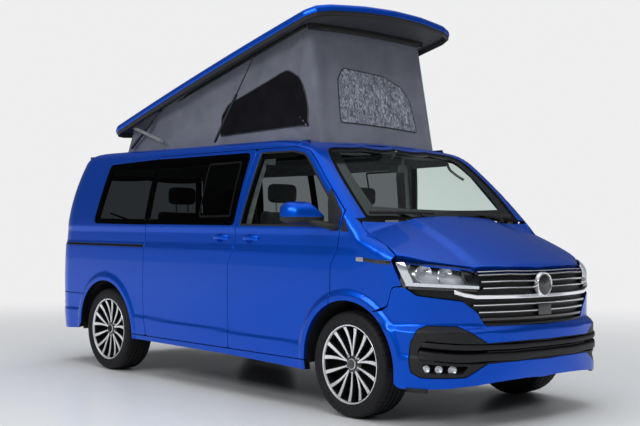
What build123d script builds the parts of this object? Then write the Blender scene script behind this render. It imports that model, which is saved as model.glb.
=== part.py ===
"""Camper van with a raised pop-top roof: a full-size vehicle, one solid or more per named piece.

Frame: millimetres, +Z up, the nose towards -Y, the van's left side towards +X.
The origin is on the ground, under the middle of the body.
"""
import os
from math import atan2, cos, degrees, hypot, radians, sin

from build123d import *

os.makedirs("parts", exist_ok=True)

# ---- Overall sizes ----
LENGTH = 4870.0
WIDTH = 1904.0
WHEELBASE = 3000.0
FRONT_OVERHANG = 880.0
ROOF_Z = 1890.0
SILL_Z = 300.0
BELT_Z = 1240.0
WALL = 60.0
PANEL_GAP = 0.3
DOOR_GAP = 6.0
GLASS_T = 6.0
PIN_CLEARANCE = 0.3

NOSE_Y = -LENGTH / 2
TAIL_Y = LENGTH / 2
FRONT_AXLE_Y = NOSE_Y + FRONT_OVERHANG
REAR_AXLE_Y = FRONT_AXLE_Y + WHEELBASE
HALF = WIDTH / 2

# ---- Running gear ----
TYRE_R = 346.0
TYRE_W = 250.0
RIM_R = 257.0
WHEEL_INSET = 138.0
ARCH_R = 418.0
WHEEL_X = HALF - WHEEL_INSET
KINGPIN_X = WHEEL_X - 94.0
AXLE_STUB_R = 30.0
DISC_R = 160.0
DISC_T = 24.0
BARREL_R = 240.0

# ---- Side of the body: insets of the section from the half width ----
SILL_INSET = 22.0
WAIST_INSET = 0.0
BELT_INSET = 14.0
PILLAR_INSET = 74.0
GUTTER_INSET = 157.0
WAIST_Z = 820.0
GUTTER_Z = ROOF_Z - 35.0

# ---- Stations along the body, from the front axle ----
COWL_Y = FRONT_AXLE_Y - 55.0
HEADER_Y = FRONT_AXLE_Y + 503.0
DOOR_FRONT_Y = FRONT_AXLE_Y + 156.0
DOOR_SHUT_Y = FRONT_AXLE_Y + 1272.0
SLIDER_SHUT_Y = REAR_AXLE_Y - 585.0
BONNET_LIP_Z = 990.0
COWL_Z = 1305.0
HEADER_Z = ROOF_Z - 66.0
BUMPER_TOP_Z = 620.0
BUMPER_LOW_Z = 245.0
DOOR_TOP_Z = GUTTER_Z - 55.0
WINDOW_TOP_Z = DOOR_TOP_Z - 30.0

# ---- Pop-top roof: closed places are y, z; raised places come from the lever and the tilt ----
ROOF_TILT = 13.5
LEVER_PIVOT = (1004.0, 1943.0)
LEVER_TIP = (1503.0, 2101.0)
LEVER_TIP_CLOSED_Z = 1961.0
POP_HALF_W = 745.0
POP_FRONT_Y = -1050.0
POP_REAR_Y = 1772.0
POP_BOTTOM_Z = 1945.0
POP_EDGE_Z = 2050.0
POP_CROWN = 28.0
POP_SKIN = 26.0
POP_RIM = 22.0
HATCH_HALF_W = 600.0
HATCH_FRONT_Y = -860.0
HATCH_REAR_Y = 1600.0
RAIL_W = 60.0
RAIL_TOP_Z = ROOF_Z + 3.0
TENT_T = 8.0
STRUT_X = 690.0
REAR_STRUT_X = STRUT_X - 24.0
STRUT_FOOT = (255.0, 1900.0)
STRUT_HEAD_CLOSED = (-253.0, 1966.0)
REAR_STRUT_FOOT = (1513.0, 1912.0)
REAR_STRUT_HEAD_CLOSED = (1084.0, 1966.0)
STRUT_TUBE_R = 11.0
STRUT_ROD_R = 5.0
STRUT_PIN_R = 5.0
LEVER_X = STRUT_X
LEVER_T = 10.0
LEVER_W = 26.0
LEVER_PIN_R = 7.0

lever_length = hypot(LEVER_TIP[0] - LEVER_PIVOT[0], LEVER_TIP[1] - LEVER_PIVOT[1])
lever_tip_closed = (
    LEVER_PIVOT[0] + (lever_length**2 - (LEVER_TIP_CLOSED_Z - LEVER_PIVOT[1]) ** 2) ** 0.5,
    LEVER_TIP_CLOSED_Z,
)


# ---- Helpers ----
def outline(start, *steps):
    """A closed face in a local plane: a step is a point, or (a point on the arc, its end)."""
    edges = []
    here = start
    for step in (*steps, start):
        via, end = step if isinstance(step[0], tuple) else (None, step)
        if end == here:
            continue
        if via:
            edges.append(Edge.make_three_point_arc(Vector(*here), Vector(*via), Vector(*end)))
        else:
            edges.append(Edge.make_line(Vector(*here), Vector(*end)))
        here = end
    return Face(Wire(edges))


def along_x(face, x0, x1):
    """A face drawn in (y, z), as a prism from x0 to x1."""
    return extrude(Plane.YZ.offset(x0) * face, amount=x1 - x0, dir=(1, 0, 0))


def along_y(face, y0, y1):
    """A face drawn in (x, z), as a prism from y0 to y1."""
    plane = Plane(origin=(0, y0, 0), x_dir=(1, 0, 0), z_dir=(0, -1, 0))
    return extrude(plane * face, amount=y1 - y0, dir=(0, 1, 0))


def along_z(face, z0, z1):
    """A face drawn in (x, y), as a prism from z0 to z1."""
    return extrude(Plane.XY.offset(z0) * face, amount=z1 - z0, dir=(0, 0, 1))


def block(x0, x1, y0, y1, z0, z1):
    return Pos((x0 + x1) / 2, (y0 + y1) / 2, (z0 + z1) / 2) * Box(x1 - x0, y1 - y0, z1 - z0)


def rod_x(radius, x0, x1, y, z):
    return Pos((x0 + x1) / 2, y, z) * Rot(0, 90, 0) * Cylinder(radius, x1 - x0)


def rod_y(radius, y0, y1, x, z):
    return Pos(x, (y0 + y1) / 2, z) * Rot(90, 0, 0) * Cylinder(radius, y1 - y0)


def rod_z(radius, z0, z1, x, y):
    return Pos(x, y, (z0 + z1) / 2) * Cylinder(radius, z1 - z0)


def rod_between(radius, x, start, end):
    """A round bar at one x between two (y, z) places."""
    length = hypot(end[0] - start[0], end[1] - start[1])
    plane = Plane(origin=(x, *start), x_dir=(1, 0, 0), z_dir=(0, end[0] - start[0], end[1] - start[1]))
    return extrude(plane * Circle(radius), amount=length)


def both_sides(shape):
    return shape + mirror(shape, about=Plane.YZ)


def largest(shape):
    """The largest solid of a cut, without the slivers that a cut leaves."""
    return max(shape.solids(), key=lambda solid: solid.volume)


def save(node, shape):
    export_step(shape, f"parts/{node}.step")


def raised(point):
    """Where a closed (y, z) place of the pop-top is when the roof is up."""
    turn = radians(-ROOF_TILT)
    dy = point[0] - lever_tip_closed[0]
    dz = point[1] - lever_tip_closed[1]
    return (
        LEVER_TIP[0] + dy * cos(turn) - dz * sin(turn),
        LEVER_TIP[1] + dy * sin(turn) + dz * cos(turn),
    )


def raise_roof(shape):
    turned = shape.rotate(Axis((0, *lever_tip_closed), (1, 0, 0)), -ROOF_TILT)
    return Pos(0, LEVER_TIP[0] - lever_tip_closed[0], LEVER_TIP[1] - lever_tip_closed[1]) * turned


# ---- The body's outer form, and the same form set in by a wall ----
def side_profile():
    """The body in side view, without the bonnet's crown."""
    return (
        (NOSE_Y + 60, 200.0),
        ((NOSE_Y + 5, 380.0), (NOSE_Y, 520.0)),
        ((NOSE_Y + 25, 760.0), (NOSE_Y + 63, BONNET_LIP_Z)),
        ((NOSE_Y + 430, BONNET_LIP_Z + 182), (COWL_Y, COWL_Z)),
        ((HEADER_Y - 290, HEADER_Z - 250), (HEADER_Y, HEADER_Z)),
        ((HEADER_Y + 250, ROOF_Z - 14), (HEADER_Y + 600, ROOF_Z)),
        (TAIL_Y - 900, ROOF_Z),
        ((TAIL_Y - 420, ROOF_Z - 6), (TAIL_Y - 215, ROOF_Z - 40)),
        ((TAIL_Y - 90, BELT_Z + 320), (TAIL_Y - 32, BELT_Z)),
        ((TAIL_Y - 14, 900.0), (TAIL_Y - 12, BUMPER_TOP_Z)),
        ((TAIL_Y, 480.0), (TAIL_Y - 10, 350.0)),
        (TAIL_Y - 60, 200.0),
    )


def cross_section():
    """The body in end view: two arcs a side and the roof's crown."""
    right = [
        (HALF - SILL_INSET - 12, 200.0),
        ((HALF - WAIST_INSET, WAIST_Z), (HALF - BELT_INSET, BELT_Z)),
        ((HALF - PILLAR_INSET, BELT_Z + 305), (HALF - GUTTER_INSET, GUTTER_Z)),
    ]
    left = [
        ((-HALF + PILLAR_INSET, BELT_Z + 305), (-HALF + BELT_INSET, BELT_Z)),
        ((-HALF + WAIST_INSET, WAIST_Z), (-HALF + SILL_INSET + 12, 200.0)),
    ]
    crown = ((0.0, ROOF_Z), (-HALF + GUTTER_INSET, GUTTER_Z))
    return (*right, crown, *left)


# Front outlines in plan: y of the centre, then the corner's start, middle and end as inset, y
PLAN = {
    "lower": (NOSE_Y, (370.0, 75.0), (120.0, 235.0), (6.0, 560.0)),
    "upper": (NOSE_Y + 28, (400.0, 118.0), (150.0, 270.0), (10.0, 640.0)),
}


def plan_outline(level):
    centre_y, start, middle, end = PLAN[level]
    tail_corner = 190.0
    points = [(HALF - inset, NOSE_Y + back) for inset, back in (start, middle, end)]
    mirrored = [(-x, y) for x, y in points]
    return (
        points[0],
        (points[1], points[2]),
        (HALF, FRONT_AXLE_Y + 350),
        (HALF, TAIL_Y - tail_corner),
        ((HALF - 0.3 * tail_corner, TAIL_Y - 0.3 * tail_corner), (HALF - tail_corner, TAIL_Y - 14)),
        ((0.0, TAIL_Y), (-HALF + tail_corner, TAIL_Y - 14)),
        ((-HALF + 0.3 * tail_corner, TAIL_Y - 0.3 * tail_corner), (-HALF, TAIL_Y - tail_corner)),
        (-HALF, FRONT_AXLE_Y + 350),
        mirrored[2],
        (mirrored[1], mirrored[0]),
        ((0.0, centre_y), points[0]),
    )


def inset_face(steps, amount):
    """The face of an outline whose points, arcs' middles too, are set in by an amount."""
    places = []
    for step in steps:
        places.extend(step if isinstance(step[0], tuple) else [step])
    closed = places[-1] == places[0]
    if closed:
        places.pop()
    area = sum(a[0] * b[1] - b[0] * a[1] for a, b in zip(places, places[1:] + places[:1]))
    turn = 1 if area > 0 else -1
    moved = []
    for before, here, after in zip(places[-1:] + places[:-1], places, places[1:] + places[:1]):
        first = Vector(here[0] - before[0], here[1] - before[1]).normalized()
        second = Vector(after[0] - here[0], after[1] - here[1]).normalized()
        normal = Vector(-first.Y - second.Y, first.X + second.X) * turn
        reach = amount / (1 + first.dot(second))
        moved.append((here[0] + normal.X * reach, here[1] + normal.Y * reach))
    queue = iter(moved + moved[:1] if closed else moved)
    shifted = [
        (next(queue), next(queue)) if isinstance(step[0], tuple) else next(queue) for step in steps
    ]
    return outline(*shifted)


def over_bonnet(depth):
    """The space over the bonnet's crown, set down by a depth."""
    drop = 118.0
    low = BONNET_LIP_Z - depth
    face = outline(
        (-HALF - 50, low - drop - 15),
        ((0.0, low), (HALF + 50, low - drop - 15)),
        (HALF + 50, low + 900),
        (-HALF - 50, low + 900),
    )
    start_y = NOSE_Y + 63
    rise = COWL_Z - BONNET_LIP_Z + 12
    run = COWL_Y - start_y
    plane = Plane(origin=(0, start_y - 3 * run, -3 * rise), x_dir=(1, 0, 0), z_dir=(0, -1, 0))
    space = extrude(plane * face, amount=4 * hypot(run, rise), dir=(0, run, rise))
    return space & block(-HALF - 60, HALF + 60, NOSE_Y - 100, COWL_Y, 500, 2500)


def body_form(inset):
    profile = along_x(inset_face(side_profile(), inset), -HALF - 10, HALF + 10)
    section = along_y(inset_face(cross_section(), inset), NOSE_Y - 10, TAIL_Y + 10)
    lower = along_z(inset_face(plan_outline("lower"), inset), 150, BUMPER_TOP_Z)
    upper = along_z(inset_face(plan_outline("upper"), inset), BUMPER_TOP_Z, 2000)
    return (profile & section & (lower + upper)) - over_bonnet(inset)


outer = body_form(0)
inner = body_form(WALL)
shell = outer - inner
glass_skin = outer - body_form(GLASS_T)
trim_skin = outer - body_form(WALL - 20)


# ---- Outlines in side view, y and z ----
def front_door_outline(gap):
    """The front door with its window frame; the gap shrinks it."""
    front = DOOR_FRONT_Y + (8.5 if gap else 0)
    rear = DOOR_SHUT_Y - gap
    return outline(
        (front, SILL_Z + 5 + gap),
        (front, 985.0),
        (front - 42, 1060.0),
        (front - 62, BELT_Z - 40),
        (FRONT_AXLE_Y + 62 + 1.7 * gap, BELT_Z + 105 - gap),
        (FRONT_AXLE_Y + 420 + 1.4 * gap, DOOR_TOP_Z - 118 - gap),
        ((FRONT_AXLE_Y + 520 + gap, DOOR_TOP_Z - 35 - gap), (FRONT_AXLE_Y + 680, DOOR_TOP_Z - gap)),
        (rear - 155, DOOR_TOP_Z - gap),
        (rear - 62, BELT_Z - 30),
        (rear, 970.0),
        (rear, SILL_Z + 5 + gap),
    )


def door_window_outline(gap):
    rear = DOOR_SHUT_Y - 62 - 45 - gap
    low = BELT_Z + 2 + gap
    return outline(
        (FRONT_AXLE_Y + 185 + 2 * gap, low),
        (FRONT_AXLE_Y + 112 + 2 * gap, BELT_Z + 95),
        (FRONT_AXLE_Y + 470 + gap, WINDOW_TOP_Z - 112),
        ((FRONT_AXLE_Y + 545 + gap, WINDOW_TOP_Z - 35), (FRONT_AXLE_Y + 690, WINDOW_TOP_Z - gap)),
        (rear - 90, WINDOW_TOP_Z - gap),
        (rear, low),
    )


def slider_outline(gap):
    front = DOOR_SHUT_Y + gap
    rear = SLIDER_SHUT_Y - gap
    return outline(
        (front, SILL_Z + 5 + gap),
        (front, 970.0),
        (front - 62, BELT_Z - 30),
        (front - 155, DOOR_TOP_Z - gap),
        (rear - 18, DOOR_TOP_Z - gap),
        (rear, BELT_Z),
        (rear, SILL_Z + 240),
        (rear - 42, SILL_Z + 5 + gap),
    )


def window_outline(front_y, front_lean, rear_y, rear_lean, gap=0.0):
    low = BELT_Z + 4 + gap
    top = WINDOW_TOP_Z - gap
    return outline(
        (front_y + gap, low),
        (front_y + front_lean + gap, top),
        (rear_y - rear_lean - gap, top),
        (rear_y - gap, low),
    )


WINDOW_FRONT_Y = DOOR_SHUT_Y - 30
WINDOW_SPLIT_Y = REAR_AXLE_Y - 610
WINDOW_REAR_Y = REAR_AXLE_Y + 245

slider_window = (WINDOW_FRONT_Y, -62.0, WINDOW_SPLIT_Y - 45, 20.0)
quarter_window = (WINDOW_SPLIT_Y + 35, -18.0, WINDOW_REAR_Y, 95.0)
left_window = (WINDOW_FRONT_Y, -62.0, WINDOW_REAR_Y, 95.0)

RIGHT = (-HALF - 60, -HALF + 240)
LEFT = (HALF - 240, HALF + 60)
DOOR_INNER_X = HALF - 224


def arch(axle_y, radius):
    return rod_x(radius, -HALF - 80, HALF + 80, axle_y, TYRE_R)


arches = arch(FRONT_AXLE_Y, ARCH_R) + arch(REAR_AXLE_Y, ARCH_R)


# ---- Doors on the sides ----
HINGE_PIN_R = 7.0
DOOR_HINGE_X = HALF - 16.0
DOOR_HINGE_Y = DOOR_FRONT_Y + 60.0
DOOR_HINGE_Z = (805.0, 1085.0)
HINGE_H = 50.0


def front_door(side):
    span = LEFT if side > 0 else RIGHT
    door = shell & along_x(front_door_outline(DOOR_GAP), *span)
    door -= block(-DOOR_INNER_X, DOOR_INNER_X, NOSE_Y, TAIL_Y, 0, 2000)
    door -= along_x(door_window_outline(0), *span)
    door -= arches
    reach = DOOR_HINGE_X - HINGE_PIN_R - DOOR_GAP - 26
    for z in DOOR_HINGE_Z:
        low = z - DOOR_GAP
        cut = block(reach, HALF + 5, DOOR_FRONT_Y - 80, DOOR_HINGE_Y + 22, low, low + HINGE_H + 2 * DOOR_GAP)
        barrel = rod_z(HINGE_PIN_R + 6, z + 12, z + HINGE_H - 12, DOOR_HINGE_X, DOOR_HINGE_Y)
        leaf = block(DOOR_HINGE_X - 5, DOOR_HINGE_X + 5, DOOR_HINGE_Y, DOOR_HINGE_Y + 40,
                     z + 12, z + HINGE_H - 12)
        bore = rod_z(HINGE_PIN_R + PIN_CLEARANCE, z, z + HINGE_H, DOOR_HINGE_X, DOOR_HINGE_Y)
        if side < 0:
            cut, barrel, leaf, bore = (mirror(s, about=Plane.YZ) for s in (cut, barrel, leaf, bore))
        door = door - cut + barrel + leaf - bore
    return door


def door_hinge_halves(side):
    """The pins and the ears that hold them, on the door frame ahead of the door."""
    made = Part()
    for z in DOOR_HINGE_Z:
        made += rod_z(HINGE_PIN_R, z, z + HINGE_H, DOOR_HINGE_X, DOOR_HINGE_Y)
        for low in (z, z + HINGE_H - 10 + 2):
            made += rod_z(HINGE_PIN_R + 6, low, low + 8, DOOR_HINGE_X, DOOR_HINGE_Y)
            made += block(DOOR_HINGE_X - 8, DOOR_HINGE_X + 8, DOOR_FRONT_Y - 80, DOOR_HINGE_Y, low, low + 8)
    return made if side > 0 else mirror(made, about=Plane.YZ)


def door_glass(side):
    span = LEFT if side > 0 else RIGHT
    return glass_skin & along_x(door_window_outline(PANEL_GAP), *span)


MIRROR_Y = FRONT_AXLE_Y + 130.0
MIRROR_Z = BELT_Z + 105.0
MIRROR_X = HALF + 95.0


def mirror_head(side):
    head = block(MIRROR_X - 95, MIRROR_X + 100, MIRROR_Y + 90, MIRROR_Y + 200, MIRROR_Z - 105, MIRROR_Z + 85)
    head = fillet(head.edges(), 30)
    foot = block(HALF - 60, MIRROR_X, MIRROR_Y + 100, MIRROR_Y + 160, BELT_Z - 18, BELT_Z + 24)
    made = (head + foot) - outer
    return made if side > 0 else mirror(made, about=Plane.YZ)


def sliding_door():
    door = shell & along_x(slider_outline(PANEL_GAP), *RIGHT)
    return door - along_x(window_outline(*slider_window), *RIGHT)


def side_panel(side):
    span = LEFT if side > 0 else RIGHT
    front = DOOR_SHUT_Y + PANEL_GAP if side > 0 else SLIDER_SHUT_Y
    zone = outline(
        (front - (0 if side > 0 else 42), SILL_Z + 5),
        (front, SILL_Z + 240),
        (front, 970.0),
        (front - (62 if side > 0 else 0), BELT_Z - (30 if side > 0 else 0)),
        (front - (155 if side > 0 else 18), DOOR_TOP_Z - PANEL_GAP),
        (TAIL_Y + 50, DOOR_TOP_Z - PANEL_GAP),
        (TAIL_Y + 50, BUMPER_TOP_Z + PANEL_GAP),
        (TAIL_Y - 250, BUMPER_TOP_Z + PANEL_GAP),
        (TAIL_Y - 250, SILL_Z + 5),
    )
    panel = (shell & along_x(zone, *span)) - arches - tailgate_space(DOOR_GAP + 4) - tail_light_space(side, 0)
    window = left_window if side > 0 else quarter_window
    return panel - along_x(window_outline(*window), *span)


# ---- Tail ----
TAILGATE_HALF_W = HALF - 135.0
TAILGATE_LOW_Z = BUMPER_TOP_Z
TAILGATE_HINGE = (TAIL_Y - 262.0, ROOF_Z - 38.0)


def tailgate_space(gap):
    """What the tailgate takes out of the shell, grown by a gap."""
    low_w = TAILGATE_HALF_W + gap
    top_w = TAILGATE_HALF_W - 75 + gap
    face = outline(
        (-low_w, TAILGATE_LOW_Z + DOOR_GAP - gap),
        (-low_w, BELT_Z - 100),
        (-top_w, ROOF_Z - 60),
        (-top_w, ROOF_Z + 60),
        (top_w, ROOF_Z + 60),
        (top_w, ROOF_Z - 60),
        (low_w, BELT_Z - 100),
        (low_w, TAILGATE_LOW_Z + DOOR_GAP - gap),
    )
    return along_y(face, TAILGATE_HINGE[0] - 18 - gap, TAIL_Y + 60)


def tail_light_space(side, gap):
    face = outline(
        (TAIL_Y - 330, 890.0 + gap),
        (TAIL_Y - 330, BELT_Z + 50 - gap),
        (TAIL_Y + 60, BELT_Z + 90 - gap),
        (TAIL_Y + 60, 860.0 + gap),
    )
    zone = along_x(face, TAILGATE_HALF_W + DOOR_GAP + gap, HALF + 30)
    zone &= along_y(outline((0.0, 0.0), (HALF + 40, 0.0), (HALF + 40, 2000.0), (0.0, 2000.0)),
                    TAIL_Y - 205 + gap, TAIL_Y + 50)
    return zone if side > 0 else mirror(zone, about=Plane.YZ)


REAR_WINDOW = (690.0, 610.0)


def rear_window_space(gap):
    low, top = REAR_WINDOW
    face = outline(
        (-low + gap, BELT_Z - 20 + gap),
        (-top + gap, ROOF_Z - 165 - gap),
        (top - gap, ROOF_Z - 165 - gap),
        (low - gap, BELT_Z - 20 + gap),
    )
    return along_y(face, TAIL_Y - 400, TAIL_Y + 60)


# ---- Bonnet, wings, lamps, grille ----
BONNET_REAR_Y = COWL_Y - 45.0
COWL_GAP = 14.0
BONNET_HINGE = (BONNET_REAR_Y - 14.0, COWL_Z - 36.0)
BONNET_HINGE_X = 300.0
LID_PIN_R = 6.0
LID_ARM_W = 18.0
LID_PIN_L = 90.0
BONNET_REAR_HALF_W = HALF - 150.0
BONNET_FRONT_HALF_W = HALF - 72.0
LAMP_INNER_X = 500.0
LAMP_LOW_Z = 850.0


def bonnet_space(gap):
    """The bonnet's place: a plan outline over a sloping underside."""
    rear = BONNET_REAR_Y + gap
    front = NOSE_Y - 60
    shut = FRONT_AXLE_Y - 375
    plan = outline(
        (-BONNET_REAR_HALF_W - gap, rear),
        (-BONNET_FRONT_HALF_W - gap, shut + gap),
        (-BONNET_FRONT_HALF_W - 60 - gap, shut - 60 + gap),
        (-BONNET_FRONT_HALF_W - 60 - gap, front),
        (BONNET_FRONT_HALF_W + 60 + gap, front),
        (BONNET_FRONT_HALF_W + 60 + gap, shut - 60 + gap),
        (BONNET_FRONT_HALF_W + gap, shut + gap),
        (BONNET_REAR_HALF_W + gap, rear),
    )
    under = outline(
        (NOSE_Y - 60, BONNET_LIP_Z - 12 - gap),
        (FRONT_AXLE_Y - 700, BONNET_LIP_Z - 12 - gap),
        (shut - 10 - gap, BONNET_LIP_Z + 38 - gap),
        (shut + 5 - gap, 900.0),
        (rear + 20, 900.0),
        (rear + 20, 1500.0),
        (NOSE_Y - 60, 1500.0),
    )
    return along_z(plan, 800, 1500) & along_x(under, -HALF - 20, HALF + 20)


def lamp_space(side, gap):
    """A headlamp's place between the bonnet and the bumper."""
    face = outline(
        (NOSE_Y - 60, LAMP_LOW_Z + gap),
        (FRONT_AXLE_Y - 600, LAMP_LOW_Z + gap),
        (FRONT_AXLE_Y - 275 - gap, LAMP_LOW_Z + 120),
        (FRONT_AXLE_Y - 285 - gap, BONNET_LIP_Z + 60),
        (NOSE_Y - 60, BONNET_LIP_Z + 60),
    )
    zone = along_x(face, LAMP_INNER_X + gap, HALF + 30)
    return zone if side > 0 else mirror(zone, about=Plane.YZ)


def wing_zone(side):
    face = outline(
        (NOSE_Y - 60, BUMPER_TOP_Z + PANEL_GAP),
        (NOSE_Y - 60, 1400.0),
        (COWL_Y + 20, 1400.0),
        (FRONT_AXLE_Y + 62, BELT_Z + 105),
        (DOOR_FRONT_Y - 62, BELT_Z - 40),
        (DOOR_FRONT_Y - 42, 1060.0),
        (DOOR_FRONT_Y, 985.0),
        (DOOR_FRONT_Y, SILL_Z + 5),
        (FRONT_AXLE_Y, SILL_Z + 5),
        (FRONT_AXLE_Y, BUMPER_TOP_Z + PANEL_GAP),
    )
    zone = along_x(face, BONNET_REAR_HALF_W - 20, HALF + 30)
    zone += along_x(face, LAMP_INNER_X, HALF) & block(0, HALF, NOSE_Y - 60, FRONT_AXLE_Y, 0, LAMP_LOW_Z)
    return zone if side > 0 else mirror(zone, about=Plane.YZ)


def wing(side):
    panel = (shell & wing_zone(side)) - arches - bonnet_space(DOOR_GAP) - lamp_space(side, 0)
    panel -= block(-HALF - 10, HALF + 10, FRONT_AXLE_Y + 40, DOOR_FRONT_Y - 55, BELT_Z + 25, 1500)
    return largest(panel - windscreen_space(0))


# ---- Hinges of the lids that turn about a line across the body ----
def lid_hinge(x, place):
    """The pin that a lid turns on, at one x."""
    return rod_x(LID_PIN_R, x - LID_PIN_L / 2, x + LID_PIN_L / 2, *place)


def lid_cut(x, place, front_y, rear_y):
    """What a lid loses round its hinge: the pin's bore and the arm's slot."""
    bore = rod_x(LID_PIN_R + PIN_CLEARANCE, x - LID_PIN_L / 2 - 2, x + LID_PIN_L / 2 + 2, *place)
    half = LID_ARM_W / 2 + DOOR_GAP
    return bore + block(x - half, x + half, front_y, rear_y, place[1] - 90, place[1] + 90)


def bonnet_panel():
    lid = largest(shell & bonnet_space(0) & over_bonnet(WALL))
    for x in (-BONNET_HINGE_X, BONNET_HINGE_X):
        lid -= lid_cut(x, BONNET_HINGE, BONNET_HINGE[0] - 30, BONNET_REAR_Y + 10)
    return lid


TAILGATE_HINGE_X = 420.0


def tailgate_panel():
    lid = (shell & tailgate_space(0)) - rear_window_space(0)
    for x in (-TAILGATE_HINGE_X, TAILGATE_HINGE_X):
        lid -= lid_cut(x, TAILGATE_HINGE, TAILGATE_HINGE[0] - 40, TAILGATE_HINGE[0] + 30)
    return lid


# ---- Towing eyes: threaded sleeves behind both bumpers ----
FRONT_TOW_EYE = (-350.0, 440.0)
REAR_TOW_EYE = (-420.0, 440.0)
TOW_EYE_R = 9.0
TOW_BOSS_R = 24.0
TOW_BOSS_L = 100.0
TOW_BOSS_INSET = 35.0
TOW_ACCESS_R = 16.0


def tow_eye(bumper, end, place):
    """A bumper with its towing eye's sleeve and the hole to it; end is -1 at the nose, 1 at the tail."""
    mouth = end * (LENGTH / 2 - TOW_BOSS_INSET)
    root = mouth - end * TOW_BOSS_L
    outside = end * LENGTH
    bumper += rod_y(TOW_BOSS_R, *sorted((mouth, root)), *place)
    bumper -= rod_y(TOW_EYE_R, *sorted((mouth, root - end)), *place)
    return bumper - rod_y(TOW_ACCESS_R, *sorted((mouth, outside)), *place)


# ---- Frame, roof, floor ----
FLOOR_Z = 480.0
FLOOR_T = 40.0
FIREWALL_Y = FRONT_AXLE_Y + 495.0
FIREWALL_T = 30.0
RAIL_X = 430.0
RAIL_LOW_Z = 400.0

seat_form = body_form(WALL + PANEL_GAP)
lining = body_form(WALL + DOOR_GAP) - body_form(WALL + 50)
windscreen_space_half = ((HALF - 172, COWL_Z - 4), (HALF - 272, HEADER_Z - 26))


def windscreen_space(gap):
    (low_w, low_z), (top_w, top_z) = windscreen_space_half
    face = outline(
        (-low_w + gap, low_z + gap),
        (-top_w + gap, top_z - gap),
        ((0.0, top_z + 22 - gap), (top_w - gap, top_z - gap)),
        (low_w - gap, low_z + gap),
    )
    return along_y(face, COWL_Y - 60, HEADER_Y + 40)


POST_LEANS = ((-55.0, FLOOR_Z + PANEL_GAP), (-55.0, 970.0), (-105.0, BELT_Z), (-195.0, ROOF_Z))
POST_W = (100.0, 90.0, 90.0, 100.0)
POST_HEAD_Z = (DOOR_TOP_Z - 110.0, DOOR_TOP_Z - 45.0)


def pillar_posts():
    """The posts inside the sides, behind the front doors; each bends inboard under the roof rail."""
    front = [(DOOR_SHUT_Y + y, z) for y, z in POST_LEANS]
    rear = [(y + width, z) for (y, z), width in zip(front, POST_W)]
    strip = outline(*front, *reversed(rear))
    low_z, high_z = POST_HEAD_Z
    posts = lining & along_x(strip, HALF - 215, HALF) & block(0, HALF, NOSE_Y, TAIL_Y, 0, high_z)
    head = seat_form & along_x(strip, HALF - 300, HALF - 228)
    posts += head & block(0, HALF, NOSE_Y, TAIL_Y, low_z, ROOF_Z)
    posts += lining & along_x(strip, HALF - 300, HALF - 150) & block(0, HALF, NOSE_Y, TAIL_Y, low_z, high_z)
    return both_sides(posts)


ROOF_SEAM_X = HALF - 240.0
ROOF_SEAM_Y = HEADER_Y + 60.0


def body_frame():
    """Windscreen frame with both front pillars, the rails over the doors and the posts."""
    front = shell & block(-HALF, HALF, BONNET_REAR_Y + COWL_GAP, ROOF_SEAM_Y, BELT_Z - 150, ROOF_Z + 10)
    front -= windscreen_space(0)
    for side in (-1, 1):
        span = LEFT if side > 0 else RIGHT
        front -= along_x(front_door_outline(0), *span)
        front -= wing_zone(side)
    rails = shell & block(-HALF, HALF, ROOF_SEAM_Y - 1, TAIL_Y + 10, DOOR_TOP_Z, GUTTER_Z)
    rails -= block(-ROOF_SEAM_X, ROOF_SEAM_X, -LENGTH, LENGTH, BELT_Z, ROOF_Z + 100)
    rails -= tailgate_space(DOOR_GAP + 4)
    return front + rails


def hatch_block(grow, z0, z1):
    """A block over the roof's hatch, larger by grow on every side."""
    half = HATCH_HALF_W + grow
    return block(-half, half, HATCH_FRONT_Y - grow, HATCH_REAR_Y + grow, z0, z1)


def roof_skin():
    seam_x, seam_y = ROOF_SEAM_X - PANEL_GAP, ROOF_SEAM_Y + PANEL_GAP
    skin = shell & block(-seam_x, seam_x, seam_y, TAIL_Y + 10, BELT_Z, ROOF_Z + 10)
    skin += shell & block(-HALF, HALF, seam_y, TAIL_Y + 10, GUTTER_Z + PANEL_GAP, ROOF_Z + 10)
    skin &= block(-HALF, HALF, HEADER_Y, TAILGATE_HINGE[0] - 28 - DOOR_GAP, BELT_Z, ROOF_Z + 100)
    skin += hatch_block(RAIL_W, ROOF_Z - 50, RAIL_TOP_Z) - body_form(20)
    skin -= hatch_block(0, BELT_Z, ROOF_Z + 100)
    for x in (-TAILGATE_HINGE_X, TAILGATE_HINGE_X):
        arm = block(x - LID_ARM_W / 2, x + LID_ARM_W / 2, TAILGATE_HINGE[0] - 60, TAILGATE_HINGE[0],
                    TAILGATE_HINGE[1] - LID_PIN_R, TAILGATE_HINGE[1] + LID_PIN_R)
        skin += arm + lid_hinge(x, TAILGATE_HINGE)
    for side in (-1, 1):
        skin += roof_bracket(side)
    return skin


POST_X = (STRUT_X + 16, STRUT_X + 26)


def roof_bracket(side):
    """The posts on the roof that carry the levers and the struts, one side."""
    made = Part()
    for (y, z), reach in ((LEVER_PIVOT, 26), (STRUT_FOOT, 14), (REAR_STRUT_FOOT, 14)):
        made += block(POST_X[0], POST_X[1], y - reach, y + reach, GUTTER_Z + PANEL_GAP, z + reach * 0.6)
    made -= rod_x(LEVER_PIN_R + PIN_CLEARANCE, POST_X[0] - 1, POST_X[1] + 1, *LEVER_PIVOT)
    for x, place in ((STRUT_X, STRUT_FOOT), (REAR_STRUT_X, REAR_STRUT_FOOT)):
        made += rod_x(STRUT_PIN_R, x - 14, POST_X[1], *place)
    made -= body_form(30)
    return made if side > 0 else mirror(made, about=Plane.YZ)


def windscreen():
    return glass_skin & windscreen_space(PANEL_GAP)


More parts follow.
